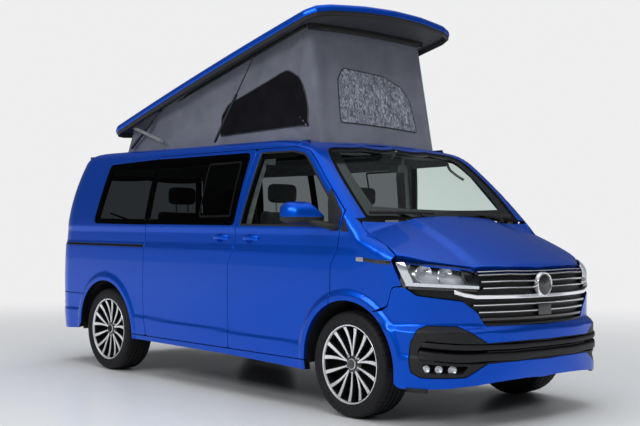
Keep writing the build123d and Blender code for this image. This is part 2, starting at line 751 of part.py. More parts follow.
def side_glass():
    glass = glass_skin & along_x(window_outline(*slider_window, PANEL_GAP), *RIGHT)
    glass += glass_skin & along_x(window_outline(*quarter_window, PANEL_GAP), *RIGHT)
    glass += glass_skin & along_x(window_outline(*left_window, PANEL_GAP), *LEFT)
    return glass


WELL_X = (HALF - 305, HALF - WALL - 12)
WELL_T = 14.0
WELL_R = (TYRE_R + 50, TYRE_R + 50 + WELL_T)
WELL_TOP_Z = 1000.0
SILL_X = (HALF - 190.0, HALF - WALL - 32)
SILL_Y = (FRONT_AXLE_Y + ARCH_R + 30, REAR_AXLE_Y - ARCH_R - 20)
SILL_LOW_Z = SILL_Z - 80.0
FLOOR_RAIL_W = 60.0
FLOOR_RAIL_H = 90.0


def floor_pan():
    plate = block(-HALF, HALF, FIREWALL_Y, TAIL_Y, FLOOR_Z - FLOOR_T, FLOOR_Z)
    joint_y = DOOR_SHUT_Y + DOOR_GAP
    clear_form = body_form(WALL + DOOR_GAP)
    pan = seat_form & plate & block(-HALF, HALF, joint_y, TAIL_Y - 160, 0, ROOF_Z)
    pan += clear_form & plate & block(-HALF, HALF, FIREWALL_Y, joint_y + 1, 0, ROOF_Z)
    x0, x1 = WELL_X
    tub = rod_x(WELL_R[1], x0, x1, REAR_AXLE_Y, TYRE_R)
    pan += both_sides(tub & block(0, HALF, 0, LENGTH, FLOOR_Z - FLOOR_T, WELL_TOP_Z))
    hollow = rod_x(WELL_R[0], x0 + WELL_T, HALF, REAR_AXLE_Y, TYRE_R)
    hollow += block(x0 + WELL_T, HALF, REAR_AXLE_Y - WELL_R[0], REAR_AXLE_Y + WELL_R[0], 0, TYRE_R + 1)
    pan -= both_sides(hollow)
    sill = block(*SILL_X, SILL_Y[0] + 10, SILL_Y[1] - 10, SILL_LOW_Z, FLOOR_Z - 1)
    sill += outer & block(SILL_X[0], HALF, *SILL_Y, SILL_LOW_Z, SILL_Z - 1)
    pan += both_sides(sill)
    bulkhead_y = (FIREWALL_Y, FIREWALL_Y + FIREWALL_T)
    pan += clear_form & block(-HALF, HALF, *bulkhead_y, FLOOR_Z - FLOOR_T, BELT_Z - 60)
    rail_x = (RAIL_X - FLOOR_RAIL_W / 2, RAIL_X + FLOOR_RAIL_W / 2)
    rail = block(*rail_x, NOSE_Y - 20, FIREWALL_Y + 10, RAIL_LOW_Z, RAIL_LOW_Z + FLOOR_RAIL_H)
    return pan + both_sides(rail & seat_form)


# ---- Running gear ----
SUBFRAME_Z = (175.0, 255.0)
ARM_Z = (TYRE_R - 158, TYRE_R + 142)
ARM_T = 16.0
KINGPIN_R = 12.0


def tyre(side, axle_y):
    x0, x1 = WHEEL_X - TYRE_W / 2, WHEEL_X + TYRE_W / 2
    profile = outline(
        (x0 + 14, RIM_R),
        ((x0, (RIM_R + TYRE_R) / 2), (x0 + 22, TYRE_R - 9)),
        (x0 + 42, TYRE_R - 1),
        ((WHEEL_X, TYRE_R), (x1 - 42, TYRE_R - 1)),
        (x1 - 22, TYRE_R - 9),
        ((x1, (RIM_R + TYRE_R) / 2), (x1 - 14, RIM_R)),
    )
    made = Pos(0, axle_y, TYRE_R) * revolve(profile, Axis.X)
    return made if side > 0 else mirror(made, about=Plane.YZ)


SPOKES = 15
RIM_WINDOW_R = 15.0
RIM_WINDOW_CIRCLE_R = 178.0


def rim(side, axle_y):
    """The barrel, the face with its windows and the hub with the axle's bore."""
    x0, x1 = WHEEL_X - TYRE_W / 2 + 16, WHEEL_X + TYRE_W / 2 - 8
    barrel = outline(
        (x0, RIM_R), (x0, BARREL_R), (x1 - 55, BARREL_R - 4), (x1 - 40, BARREL_R - 30),
        (x1 - 25, BARREL_R - 30), (x1, RIM_R - 12), (x1, RIM_R),
    )
    face = outline(
        (x1 - 52, AXLE_STUB_R + PIN_CLEARANCE), (x1 - 52, 70.0), (x1 - 40, BARREL_R - 20),
        (x1 - 22, BARREL_R - 20), (x1 - 20, 70.0), (x1 - 20, AXLE_STUB_R + PIN_CLEARANCE),
    )
    made = revolve(barrel, Axis.X) + revolve(face, Axis.X)
    for k in range(SPOKES):
        angle = radians(360.0 * k / SPOKES)
        y, z = RIM_WINDOW_CIRCLE_R * cos(angle), RIM_WINDOW_CIRCLE_R * sin(angle)
        made -= rod_x(RIM_WINDOW_R, x0, x1 + 5, y, z)
    made = Pos(0, axle_y, TYRE_R) * made
    return made if side > 0 else mirror(made, about=Plane.YZ)


def hub(axle_y):
    """Brake disc and axle stub, left side."""
    x1 = WHEEL_X + TYRE_W / 2 - 8
    made = rod_x(AXLE_STUB_R, KINGPIN_X, x1 - 22, axle_y, TYRE_R)
    return made + rod_x(DISC_R, WHEEL_X - 20, WHEEL_X - 20 + DISC_T, axle_y, TYRE_R)


def knuckle(side):
    made = hub(FRONT_AXLE_Y)
    made += rod_z(24, ARM_Z[0] + ARM_T / 2 + 8, ARM_Z[1] - ARM_T / 2 - 8, KINGPIN_X, FRONT_AXLE_Y)
    made += rod_z(KINGPIN_R, ARM_Z[0] - ARM_T / 2, ARM_Z[1] + ARM_T / 2, KINGPIN_X, FRONT_AXLE_Y)
    return made if side > 0 else mirror(made, about=Plane.YZ)


def front_subframe():
    y = FRONT_AXLE_Y
    made = block(0, RAIL_X + 30, y - 190, y + 230, *SUBFRAME_Z)
    made += block(RAIL_X - 30, RAIL_X + 30, y - 60, y + 60, SUBFRAME_Z[0], RAIL_LOW_Z - PANEL_GAP)
    made += block(RAIL_X + 10, RAIL_X + 30, y - 60, y + 60, SUBFRAME_Z[0], ARM_Z[1] + 20) - block(
        0, RAIL_X + 31, y - 100, y + 100, RAIL_LOW_Z - PANEL_GAP, 2000)
    made += block(RAIL_X + 31, RAIL_X + 50, y - 30, y + 30, SUBFRAME_Z[0], ARM_Z[1] + 20)
    made += block(RAIL_X + 25, RAIL_X + 35, y - 30, y + 30, SUBFRAME_Z[0], RAIL_LOW_Z - 10)
    for z in ARM_Z:
        made += block(RAIL_X + 32, KINGPIN_X, y - 24, y + 24, z - ARM_T / 2, z + ARM_T / 2)
        made += rod_z(24, z - ARM_T / 2, z + ARM_T / 2, KINGPIN_X, y)
    made -= rod_z(KINGPIN_R + PIN_CLEARANCE, 0, 1000, KINGPIN_X, y)
    return both_sides(made)


def rear_axle():
    y = REAR_AXLE_Y
    made = both_sides(hub(y))
    made += rod_x(36, -KINGPIN_X - 5, KINGPIN_X + 5, y, TYRE_R)
    arm = block(470, 520, y - 480, y, TYRE_R - 25, TYRE_R + 25)
    arm += block(470, 520, y - 520, y - 440, TYRE_R - 25, FLOOR_Z - FLOOR_T - PANEL_GAP)
    return made + both_sides(arm)


ENGINE = (370.0, FRONT_AXLE_Y - 320, FRONT_AXLE_Y + 260, SUBFRAME_Z[1] + PANEL_GAP, 930.0)


def engine():
    return block(-ENGINE[0], ENGINE[0], *ENGINE[1:])


SILENCER_X = (-330.0, -130.0)
SILENCER_Y = (REAR_AXLE_Y - 900, REAR_AXLE_Y - 300)
SILENCER_H = 130.0
EXHAUST_R = 28.0


def exhaust():
    top = FLOOR_Z - FLOOR_T - PANEL_GAP
    silencer = block(*SILENCER_X, *SILENCER_Y, top - SILENCER_H, top)
    silencer = fillet(silencer.edges().filter_by(Axis.Y), 40)
    pipe = rod_y(EXHAUST_R, FIREWALL_Y + 200, SILENCER_Y[0] + 20, sum(SILENCER_X) / 2, top - SILENCER_H + 60)
    return silencer + pipe


# ---- Inside ----
SEAT_X = 430.0
SEAT_Y = FRONT_AXLE_Y + 1010.0
STEERING_X = SEAT_X
STEERING_CENTRE = (FRONT_AXLE_Y + 672.0, 1105.0)
STEERING_TILT = 30.0
STEERING_R = 190.0
DASH_HALF_W = HALF - 160.0


def dashboard():
    face = outline(
        (FIREWALL_Y - 330, BELT_Z - 15),
        (FIREWALL_Y - 120, BELT_Z + 22),
        ((FIREWALL_Y + 30, BELT_Z), (FIREWALL_Y + 70, BELT_Z - 110)),
        (FIREWALL_Y + 40, BELT_Z - 290),
        (FIREWALL_Y + FIREWALL_T + PANEL_GAP, BELT_Z - 330),
        (FIREWALL_Y + FIREWALL_T + PANEL_GAP, BELT_Z - 60 + PANEL_GAP),
        (FIREWALL_Y - 330, BELT_Z - 60 + PANEL_GAP),
    )
    made = body_form(WALL + 12) & along_x(face, -DASH_HALF_W, DASH_HALF_W)
    tube = extrude(steering_plane(-150) * Circle(30), amount=95)
    return made + tube - shaft(12 + PIN_CLEARANCE, 146)


def steering_plane(reach):
    """A plane across the steering column, a reach up it from the wheel's centre."""
    y, z = STEERING_CENTRE
    tilt = radians(STEERING_TILT)
    return Plane(
        origin=(STEERING_X, y + reach * cos(tilt), z + reach * sin(tilt)),
        x_dir=(1, 0, 0),
        z_dir=(0, cos(tilt), sin(tilt)),
    )


def shaft(radius, reach=140):
    """The steering shaft, from inside the column to the wheel."""
    return extrude(steering_plane(-reach) * Circle(radius), amount=reach)


def steering_wheel():
    plane = steering_plane(0)
    made = plane * Torus(STEERING_R, 16)
    made += plane * Cylinder(60, 40)
    for angle in (0, 180, 270):
        made += plane * Rot(0, 0, angle) * Pos(STEERING_R / 2, 0, 0) * Box(STEERING_R, 34, 14)
    return made + shaft(12)


CUSHION_Z = (FLOOR_Z + 230.0, FLOOR_Z + 370.0)


def seat(x, y, width, back_top):
    """A seat on its pedestal: cushion, back and headrest, facing the nose."""
    half = width / 2
    made = block(x - half, x + half, y - 270, y + 250, *CUSHION_Z)
    made += block(x - half + 40, x + half - 40, y - 200, y + 220, FLOOR_Z + PANEL_GAP, CUSHION_Z[0] + 2)
    low_z = CUSHION_Z[1] - 30
    back = outline((y + 130, low_z), (y + 250, back_top), (y + 345, back_top), (y + 255, low_z))
    return made + along_x(back, x - half + 10, x + half - 10)


def headrest(x, y, back_top):
    rest = block(x - 130, x + 130, y + 255, y + 345, back_top + 12, back_top + 190)
    rest = fillet(rest.edges(), 25)
    posts = rod_z(7, back_top - 20, back_top + 40, x - 60, y + 300)
    return rest + posts + rod_z(7, back_top - 20, back_top + 40, x + 60, y + 300)


SEAT_BACK_TOP = 1390.0


def front_seats():
    made = Part()
    for x in (-SEAT_X, SEAT_X):
        made += seat(x, SEAT_Y, 520, SEAT_BACK_TOP) + headrest(x, SEAT_Y, SEAT_BACK_TOP)
    return made


BENCH = (-160.0, REAR_AXLE_Y - 660.0, 1130.0)


def rear_bench():
    made = seat(BENCH[0], BENCH[1], BENCH[2], SEAT_BACK_TOP - 20)
    for x in (BENCH[0] - 290, BENCH[0] + 290):
        made += headrest(x, BENCH[1], SEAT_BACK_TOP - 20)
    return made


UNIT_W = 420.0
UNIT_Y = (DOOR_SHUT_Y + 260, REAR_AXLE_Y + 640)


def kitchen_unit():
    """The low row of cupboards along the left side."""
    form = body_form(WALL + 4)
    unit = form & block(HALF - UNIT_W, HALF, *UNIT_Y, FLOOR_Z + PANEL_GAP, BELT_Z - 40)
    return unit - rod_x(WELL_R[1] + 3, WELL_X[0] - 3, HALF, REAR_AXLE_Y, TYRE_R)


# ---- Pop-top roof ----
POP_HOLLOW_Y = (POP_FRONT_Y + 60, POP_REAR_Y - 95)


def pop_hollow():
    """The panel's hollow in side view with the roof closed."""
    front, rear = POP_HOLLOW_Y
    return outline(
        (front, POP_BOTTOM_Z - 5),
        (front, POP_EDGE_Z - 20),
        (((front + rear) / 2, POP_EDGE_Z + POP_CROWN - POP_SKIN), (rear, POP_EDGE_Z - 46 - POP_SKIN)),
        (rear, POP_BOTTOM_Z - 5),
    )


def pop_roof():
    side = outline(
        (POP_FRONT_Y - 120, POP_BOTTOM_Z),
        (POP_FRONT_Y - 120, POP_EDGE_Z + 8),
        (((POP_FRONT_Y + POP_REAR_Y) / 2, POP_EDGE_Z + 10 + POP_CROWN), (POP_REAR_Y - 60, POP_EDGE_Z - 43)),
        (POP_REAR_Y + 15, POP_BOTTOM_Z),
    )
    plan = outline(
        (-POP_HALF_W, POP_FRONT_Y + 120),
        ((-POP_HALF_W + 40, POP_FRONT_Y + 20), (-POP_HALF_W + 150, POP_FRONT_Y - 20)),
        ((0.0, POP_FRONT_Y - 78), (POP_HALF_W - 150, POP_FRONT_Y - 20)),
        ((POP_HALF_W - 40, POP_FRONT_Y + 20), (POP_HALF_W, POP_FRONT_Y + 120)),
        (POP_HALF_W, POP_REAR_Y - 110),
        ((POP_HALF_W - 32, POP_REAR_Y - 32), (POP_HALF_W - 110, POP_REAR_Y)),
        (-POP_HALF_W + 110, POP_REAR_Y),
        ((-POP_HALF_W + 32, POP_REAR_Y - 32), (-POP_HALF_W, POP_REAR_Y - 110)),
    )
    full = along_x(side, -POP_HALF_W - 30, POP_HALF_W + 30)
    full &= along_z(plan, POP_BOTTOM_Z - 10, POP_EDGE_Z + 80)
    closed = full - along_x(pop_hollow(), -POP_HALF_W + POP_RIM, POP_HALF_W - POP_RIM)
    for x, (y, z) in ((STRUT_X, STRUT_HEAD_CLOSED), (REAR_STRUT_X, REAR_STRUT_HEAD_CLOSED)):
        closed += both_sides(block(x - 26, x - 15, y - 13, y + 13, z - 9, POP_EDGE_Z + 100) & full)
    y, z = lever_tip_closed
    ear = block(LEVER_X - 26, LEVER_X - 15, y - 15, y + 15, z - 10, POP_EDGE_Z + 100) & full
    closed += both_sides(ear + rod_x(LEVER_PIN_R, LEVER_X - 26, LEVER_X + LEVER_T / 2, y, z))
    return raise_roof(closed)


def lever_bar():
    y0, z0 = LEVER_PIVOT
    angle = degrees(atan2(LEVER_TIP[1] - z0, LEVER_TIP[0] - y0))
    bar = block(LEVER_X - LEVER_T / 2, LEVER_X + LEVER_T / 2, 0, lever_length, -LEVER_W / 2, LEVER_W / 2)
    for y in (0, lever_length):
        bar += rod_x(LEVER_W / 2, LEVER_X - LEVER_T / 2, LEVER_X + LEVER_T / 2, y, 0)
    bar -= rod_x(LEVER_PIN_R + PIN_CLEARANCE, 0, HALF, lever_length, 0)
    bar += rod_x(LEVER_PIN_R, LEVER_X, POST_X[1], 0, 0)
    return Pos(0, y0, z0) * bar.rotate(Axis.X, angle)


def strut(x, foot, head_closed, tube_share=0.86):
    """A gas strut's tube and rod, between its foot and its head with the roof up, left side."""
    head = raised(head_closed)
    shut = hypot(head_closed[0] - foot[0], head_closed[1] - foot[1])
    full = hypot(head[0] - foot[0], head[1] - foot[1])
    tube_l = shut * tube_share
    step_y, step_z = (head[0] - foot[0]) / full, (head[1] - foot[1]) / full

    def at(reach):
        return (foot[0] + reach * step_y, foot[1] + reach * step_z)

    eye_r = STRUT_PIN_R + 5
    tube = rod_between(STRUT_TUBE_R, x, at(eye_r), at(tube_l)) + rod_x(eye_r, x - 6, x + 6, *foot)
    tube -= rod_between(STRUT_ROD_R + PIN_CLEARANCE, x, at(24), at(tube_l + 5))
    tube -= rod_x(STRUT_PIN_R + PIN_CLEARANCE, x - 15, x + 15, *foot)
    rod_start = max(full - shut + 30, tube_l * 0.55)
    rod = rod_between(STRUT_ROD_R, x, at(rod_start), at(full - eye_r)) + rod_x(eye_r, x - 4, x + 4, *head)
    rod += rod_x(STRUT_PIN_R, x - 14.4, x, *head)
    return tube, rod


def tent():
    """The cloth between the roof's hatch and the raised roof, a hollow with cloth walls."""
    low = RAIL_TOP_Z + PANEL_GAP
    middle_y = (HATCH_FRONT_Y + HATCH_REAR_Y) / 2
    faces = []
    for cloth, lift in ((0, 0), (TENT_T, 12)):
        front_top = raised((HATCH_FRONT_Y - 10 + cloth, POP_EDGE_Z - 34 + lift))
        middle_top = raised((middle_y, POP_EDGE_Z + POP_CROWN - POP_SKIN - 8 + lift))
        rear_top = raised((HATCH_REAR_Y - 25 - cloth, POP_EDGE_Z - 46 - POP_SKIN + lift))
        foot = low - (5 if cloth else 0)
        faces.append(outline(
            (HATCH_FRONT_Y - 40 + cloth, foot), front_top, (middle_top, rear_top),
            (HATCH_REAR_Y + 40 - cloth, foot),
        ))
    half = HATCH_HALF_W + 35
    return along_x(faces[0], -half, half) - along_x(faces[1], -half + TENT_T, half - TENT_T)


# ---- The pieces ----
bumper_zone = along_x(
    outline(
        (NOSE_Y - 60, BUMPER_LOW_Z),
        (NOSE_Y - 60, BUMPER_TOP_Z - PANEL_GAP),
        (FRONT_AXLE_Y - 300, BUMPER_TOP_Z - PANEL_GAP),
        (FRONT_AXLE_Y - 300, BUMPER_LOW_Z),
    ),
    -HALF - 60,
    HALF + 60,
)
front_bumper = tow_eye((shell & bumper_zone) - arches, -1, FRONT_TOW_EYE)
rear_bumper = shell & block(-HALF - 60, HALF + 60, TAIL_Y - 250 + PANEL_GAP, TAIL_Y + 60, SILL_Z,
                            BUMPER_TOP_Z - PANEL_GAP)
rear_bumper = tow_eye(rear_bumper, 1, REAR_TOW_EYE)
grille = trim_skin & along_y(
    outline((-LAMP_INNER_X + 1, BUMPER_TOP_Z + PANEL_GAP), (-LAMP_INNER_X + 1, BONNET_LIP_Z - 25),
            (LAMP_INNER_X - 1, BONNET_LIP_Z - 25), (LAMP_INNER_X - 1, BUMPER_TOP_Z + PANEL_GAP)),
    NOSE_Y - 50, NOSE_Y + 400,
)
headlights = trim_skin & (lamp_space(1, PANEL_GAP) + lamp_space(-1, PANEL_GAP))
headlights -= bonnet_space(DOOR_GAP)
tail_lights = trim_skin & (tail_light_space(1, PANEL_GAP) + tail_light_space(-1, PANEL_GAP))
rear_window = glass_skin & rear_window_space(PANEL_GAP)

cowl_arms = Part()
for hinge_x in (-BONNET_HINGE_X, BONNET_HINGE_X):
    cowl_arms += block(hinge_x - LID_ARM_W / 2, hinge_x + LID_ARM_W / 2, BONNET_HINGE[0], COWL_Y,
                       BONNET_HINGE[1] - LID_PIN_R, BONNET_HINGE[1] + LID_PIN_R)
    cowl_arms += lid_hinge(hinge_x, BONNET_HINGE)

for side, name in ((1, "left"), (-1, "right")):
    save(f"{name}_wing", wing(side) + door_hinge_halves(side))
    save(f"{name}_front_door", front_door(side))
    save(f"{name}_door_glass", door_glass(side))
    save(f"{name}_mirror", mirror_head(side))
    save(f"{name}_side_panel", side_panel(side))
    save(f"{name}_knuckle", knuckle(side))
    for end, axle_y in (("front", FRONT_AXLE_Y), ("rear", REAR_AXLE_Y)):
        save(f"{name}_{end}_tyre", tyre(side, axle_y))
        save(f"{name}_{end}_rim", rim(side, axle_y))

save("body_frame", body_frame() + cowl_arms)
save("pillar_posts", pillar_posts())
save("roof_skin", roof_skin())
save("floor_pan", floor_pan())
save("windscreen", windscreen())
save("side_glass", side_glass())
save("sliding_door", sliding_door())
save("front_bumper", front_bumper)
save("rear_bumper", rear_bumper)
save("grille", grille)
save("headlights", headlights)
save("tail_lights", tail_lights)
save("bonnet", bonnet_panel())
save("tailgate", tailgate_panel())
save("rear_window", rear_window)
save("front_subframe", front_subframe())
save("rear_axle", rear_axle())
save("engine", engine())
save("exhaust", exhaust())
save("dashboard", dashboard())
save("steering_wheel", steering_wheel())
save("front_seats", front_seats())
save("rear_bench", rear_bench())
save("kitchen_unit", kitchen_unit())
save("pop_roof", pop_roof())
save("roof_levers", both_sides(lever_bar()))
long_tube, long_rod = strut(STRUT_X, STRUT_FOOT, STRUT_HEAD_CLOSED)
short_tube, short_rod = strut(REAR_STRUT_X, REAR_STRUT_FOOT, REAR_STRUT_HEAD_CLOSED)
save("strut_tubes", both_sides(long_tube))
save("strut_rods", both_sides(long_rod))
save("rear_strut_tubes", both_sides(short_tube))
save("rear_strut_rods", both_sides(short_rod))
save("tent", tent())
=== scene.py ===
"""The looks of the camper van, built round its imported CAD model.

Frame: metres, +Z up, the nose towards -Y, the van's left side towards +X, the ground at z 0.
Every painted panel lies on one surface, skin_level() = 0, which is found along rays from inside the body.
"""
import math

import bmesh
import bpy
import numpy as np
from mathutils import Matrix, Vector
from mathutils.noise import noise as noise3
from mathutils.geometry import delaunay_2d_cdt


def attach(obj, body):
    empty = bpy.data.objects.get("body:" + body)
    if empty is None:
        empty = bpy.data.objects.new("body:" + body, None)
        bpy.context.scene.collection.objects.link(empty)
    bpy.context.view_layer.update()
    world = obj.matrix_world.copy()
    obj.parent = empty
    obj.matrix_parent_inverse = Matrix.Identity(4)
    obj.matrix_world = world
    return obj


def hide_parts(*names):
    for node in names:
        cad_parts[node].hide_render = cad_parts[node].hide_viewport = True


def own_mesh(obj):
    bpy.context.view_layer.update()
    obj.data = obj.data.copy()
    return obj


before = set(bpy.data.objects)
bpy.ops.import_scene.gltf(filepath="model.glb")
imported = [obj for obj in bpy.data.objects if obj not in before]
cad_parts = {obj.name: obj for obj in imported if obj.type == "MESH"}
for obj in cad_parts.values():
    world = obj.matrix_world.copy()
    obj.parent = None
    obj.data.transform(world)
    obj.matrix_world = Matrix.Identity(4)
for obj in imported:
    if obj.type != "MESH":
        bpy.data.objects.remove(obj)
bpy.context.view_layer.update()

# ---- Places that the looks share with the CAD model ----
HALF = 0.952
NOSE_Y, TAIL_Y = -2.435, 2.435
FRONT_AXLE_Y, REAR_AXLE_Y = -1.555, 1.445
WHEEL_X, TYRE_R = 0.814, 0.346
ARCH_R = 0.418
ROOF_Z, GUTTER_Z, BELT_Z, SILL_Z = 1.890, 1.855, 1.240, 0.300
COWL_Y, COWL_Z = -1.610, 1.305
HEADER_Y, HEADER_Z = -1.052, 1.824
DOOR_FRONT_Y, DOOR_SHUT_Y, SLIDER_SHUT_Y = -1.399, -0.283, 0.860
DOOR_TOP_Z, WINDOW_TOP_Z = 1.800, 1.770
BONNET_LIP_Z, SILL_TOP_Z, BUMPER_JOINT_Z = 0.990, 0.338, 0.632
GAP = 0.0022  # between neighbouring panels, on each side
ARCH_EDGE_R = ARCH_R - 0.003
SIDES = (("left", 1), ("right", -1))
AXLES = (("front", FRONT_AXLE_Y), ("rear", REAR_AXLE_Y))


# ---- The body's form: distances outside it, smooth where the panels bend ----
def circle_through(a, b, c):
    """Centre and radius of the circle through three points of a plane."""
    (ax, ay), (bx, by), (cx, cy) = a, b, c
    d = 2 * (ax * (by - cy) + bx * (cy - ay) + cx * (ay - by))
    ux = ((ax**2 + ay**2) * (by - cy) + (bx**2 + by**2) * (cy - ay) + (cx**2 + cy**2) * (ay - by)) / d
    uy = ((ax**2 + ay**2) * (cx - bx) + (bx**2 + by**2) * (ax - cx) + (cx**2 + cy**2) * (bx - ax)) / d
    return ux, uy, math.hypot(ax - ux, ay - uy)


def outside_arc(u, v, arc, facing=0):
    """How far points are outside the circle of an arc; the arc may go on straight behind its centre."""
    du = u - arc[0]
    if facing:
        du = np.maximum(du * facing, 0)
    return np.hypot(du, v - arc[1]) - arc[2]


def smooth_max(a, b, k):
    """The larger of two distances, blended where they differ by less than k."""
    h = np.clip(k - np.abs(a - b), 0, None) / k
    return np.maximum(a, b) + h * h * k / 4


def round_max(a, b, r):
    """The larger of two distances, with the corner between them rounded to a radius."""
    return np.minimum(np.maximum(a, b) + r, 0) + np.hypot(np.maximum(a + r, 0), np.maximum(b + r, 0)) - r


def smooth_step(low, high, x):
    """Rises smoothly from 0 at low to 1 at high."""
    t = np.clip((x - low) / (high - low), 0, 1)
    return t * t * (3 - 2 * t)


LOWER_SIDE = circle_through((HALF - 0.034, 0.200), (HALF, 0.820), (HALF - 0.014, BELT_Z))
UPPER_SIDE = circle_through((HALF - 0.014, BELT_Z), (HALF - 0.074, 1.545), (HALF - 0.157, GUTTER_Z))
SCREEN = circle_through((COWL_Y, COWL_Z), (HEADER_Y - 0.290, HEADER_Z - 0.250), (HEADER_Y, HEADER_Z))
ROOF_FRONT = circle_through((HEADER_Y, HEADER_Z), (HEADER_Y + 0.25, ROOF_Z - 0.014), (HEADER_Y + 0.6, ROOF_Z))
ROOF_REAR = circle_through((TAIL_Y - 0.9, ROOF_Z), (TAIL_Y - 0.42, ROOF_Z - 0.006), (TAIL_Y - 0.215, 1.850))
TAIL_UPPER = circle_through((TAIL_Y - 0.215, 1.850), (TAIL_Y - 0.090, 1.560), (TAIL_Y - 0.032, BELT_Z))
TAIL_LOWER = circle_through((TAIL_Y - 0.032, BELT_Z), (TAIL_Y - 0.014, 0.900), (TAIL_Y - 0.012, 0.620))
NOSE_TIP_Z = 0.520
NOSE_LOWER = circle_through((NOSE_Y + 0.060, 0.200), (NOSE_Y + 0.005, 0.380), (NOSE_Y, NOSE_TIP_Z))
NOSE_UPPER = circle_through((NOSE_Y, NOSE_TIP_Z), (NOSE_Y + 0.025, 0.760), (NOSE_Y + 0.063, BONNET_LIP_Z))
# Front outlines in plan, at the bumper and above it: the middle's arc and the corner's arc
PLANS = (
    (circle_through((-0.582, NOSE_Y + 0.075), (0.0, NOSE_Y), (0.582, NOSE_Y + 0.075)),
     circle_through((0.582, NOSE_Y + 0.075), (0.832, NOSE_Y + 0.235), (0.946, NOSE_Y + 0.560))),
    (circle_through((-0.552, NOSE_Y + 0.118), (0.0, NOSE_Y + 0.028), (0.552, NOSE_Y + 0.118)),
     circle_through((0.552, NOSE_Y + 0.118), (0.802, NOSE_Y + 0.270), (0.942, NOSE_Y + 0.640))),
)
PLAN_TURN = 0.262
ROOF_CROWN, SCREEN_BOW, TAIL_BOW = 0.056, 0.070, 0.022
HEADER_SLOPE, HEADER_COSINE = 0.2818, 0.9625
BONNET_SLOPE, BONNET_COSINE, BONNET_CROWN_R = 0.443, 0.92, 3.84
TAIL_CORNER_R = (0.34, 0.26)  # in plan, at z 1.2 and 1.8


def bonnet_height(x, y):
    """The bonnet's top, with its crown and the two creases that run down to the grille's ends."""
    along = np.clip((y - NOSE_Y - 0.063) / (COWL_Y - NOSE_Y - 0.063), -0.2, 1.2)
    low = BONNET_LIP_Z + BONNET_SLOPE * (y - NOSE_Y - 0.063) + 0.05 * along * (1 - along)
    crease_x = 0.398 + 0.12 * (1 - along) ** 2
    fall = 0.014 * smooth_step(-0.01, 0.10, x - crease_x) * smooth_step(0.02, 0.30, along)
    return low - x * x / (2 * BONNET_CROWN_R) - fall


def plan_level(x, y, arcs):
    """How far points are outside a front outline in plan."""
    middle, corner = arcs
    dx, dy = x - corner[0], corner[1] - y
    wing = np.where(dy > 0, np.hypot(dx, dy), dx + 0.1 * dy) - corner[2]
    return np.where(dx > PLAN_TURN * np.maximum(dy, 0), wing,
                    outside_arc(y, x, (middle[1], 0.0, middle[2]), -1))


def body_level(p):
    """Above 0 outside the body, below 0 inside, by about the distance to its surface."""
    x, y, z = np.abs(p[:, 0]), p[:, 1], p[:, 2]
    side = smooth_max(outside_arc(x, z, LOWER_SIDE), outside_arc(x, z, UPPER_SIDE), 0.006)
    crowned = z + ROOF_CROWN * x * x
    middle_z = np.interp(y, (ROOF_FRONT[0], ROOF_REAR[0]),
                         (ROOF_FRONT[1] + ROOF_FRONT[2], ROOF_REAR[1] + ROOF_REAR[2]))
    roof = np.where(y < ROOF_FRONT[0], outside_arc(y, crowned, ROOF_FRONT), crowned - middle_z)
    roof = np.where(y > ROOF_REAR[0], outside_arc(y, crowned, ROOF_REAR), roof)
    roof = np.where(y < HEADER_Y, (crowned - HEADER_Z - HEADER_SLOPE * (y - HEADER_Y)) * HEADER_COSINE, roof)
    screen = outside_arc(y - SCREEN_BOW * x * x, z, SCREEN)
    hood = (z - bonnet_height(x, y)) * BONNET_COSINE
    front_top = -smooth_max(-screen, -hood, 0.012)
    tail = np.where(z > BELT_Z, outside_arc(y, z, TAIL_UPPER, 1),
                    outside_arc(y, z, TAIL_LOWER, 1)) + TAIL_BOW * x * x
    nose = np.where(z > NOSE_TIP_Z, outside_arc(y, z, NOSE_UPPER, -1), outside_arc(y, z, NOSE_LOWER, -1))
    upper = smooth_step(0.590, 0.640, z)
    plan = plan_level(x, y, PLANS[0]) * (1 - upper) + plan_level(x, y, PLANS[1]) * upper
    corner_r = np.interp(z, (1.2, 1.8), TAIL_CORNER_R)
    form = round_max(side, tail, corner_r)
    form = smooth_max(form, smooth_max(nose, plan, 0.03), 0.02)
    form = smooth_max(form, smooth_max(roof, front_top, 0.04), 0.06)
    return form


SHOULDER_Z = (1.052, 1.098)
LOWER_CREASE = ((-1.113, 0.458), (-0.277, 0.477), (0.961, 0.504))
FLARE = (0.030, 0.072)


def arch_distance(y, z):
    """How far a place on the side is from the edge of the nearer wheel arch."""
    best = np.full(len(y), 9.0)
    for _, axle_y in AXLES:
        out = np.hypot(y - axle_y, np.maximum(z - TYRE_R, 0)) - ARCH_R
        best = np.where(np.abs(out) < np.abs(best), out, best)
    return best


def relief(p):
    """How far the sides' creases and the flared arches stand out of the plain form."""
    x, y, z = np.abs(p[:, 0]), p[:, 1], p[:, 2]
    low = np.interp(y, [c[0] for c in LOWER_CREASE], [c[1] for c in LOWER_CREASE])
    ledge = 0.009 * (1 - smooth_step(-0.030, 0.004, z - low))
    flare = 0.015 * (1 - smooth_step(*FLARE, arch_distance(y, z))) * smooth_step(-2.30, -2.05, y)
    shoulder = 0.007 - 0.014 * smooth_step(*SHOULDER_Z, z) * (1 - smooth_step(1.17, 1.235, z))
    shoulder -= 0.007 * smooth_step(1.17, 1.235, z)
    shoulder *= smooth_step(-1.72, -1.40, y) * (1 - smooth_step(2.15, 2.35, y)) * smooth_step(0.86, 0.90, x)
    return smooth_max(ledge, flare, 0.004) * smooth_step(0.80, 0.90, x) + shoulder


def skin_level(p):
    """Above 0 outside the painted skin, below 0 inside it."""
    return body_level(p) - relief(p)


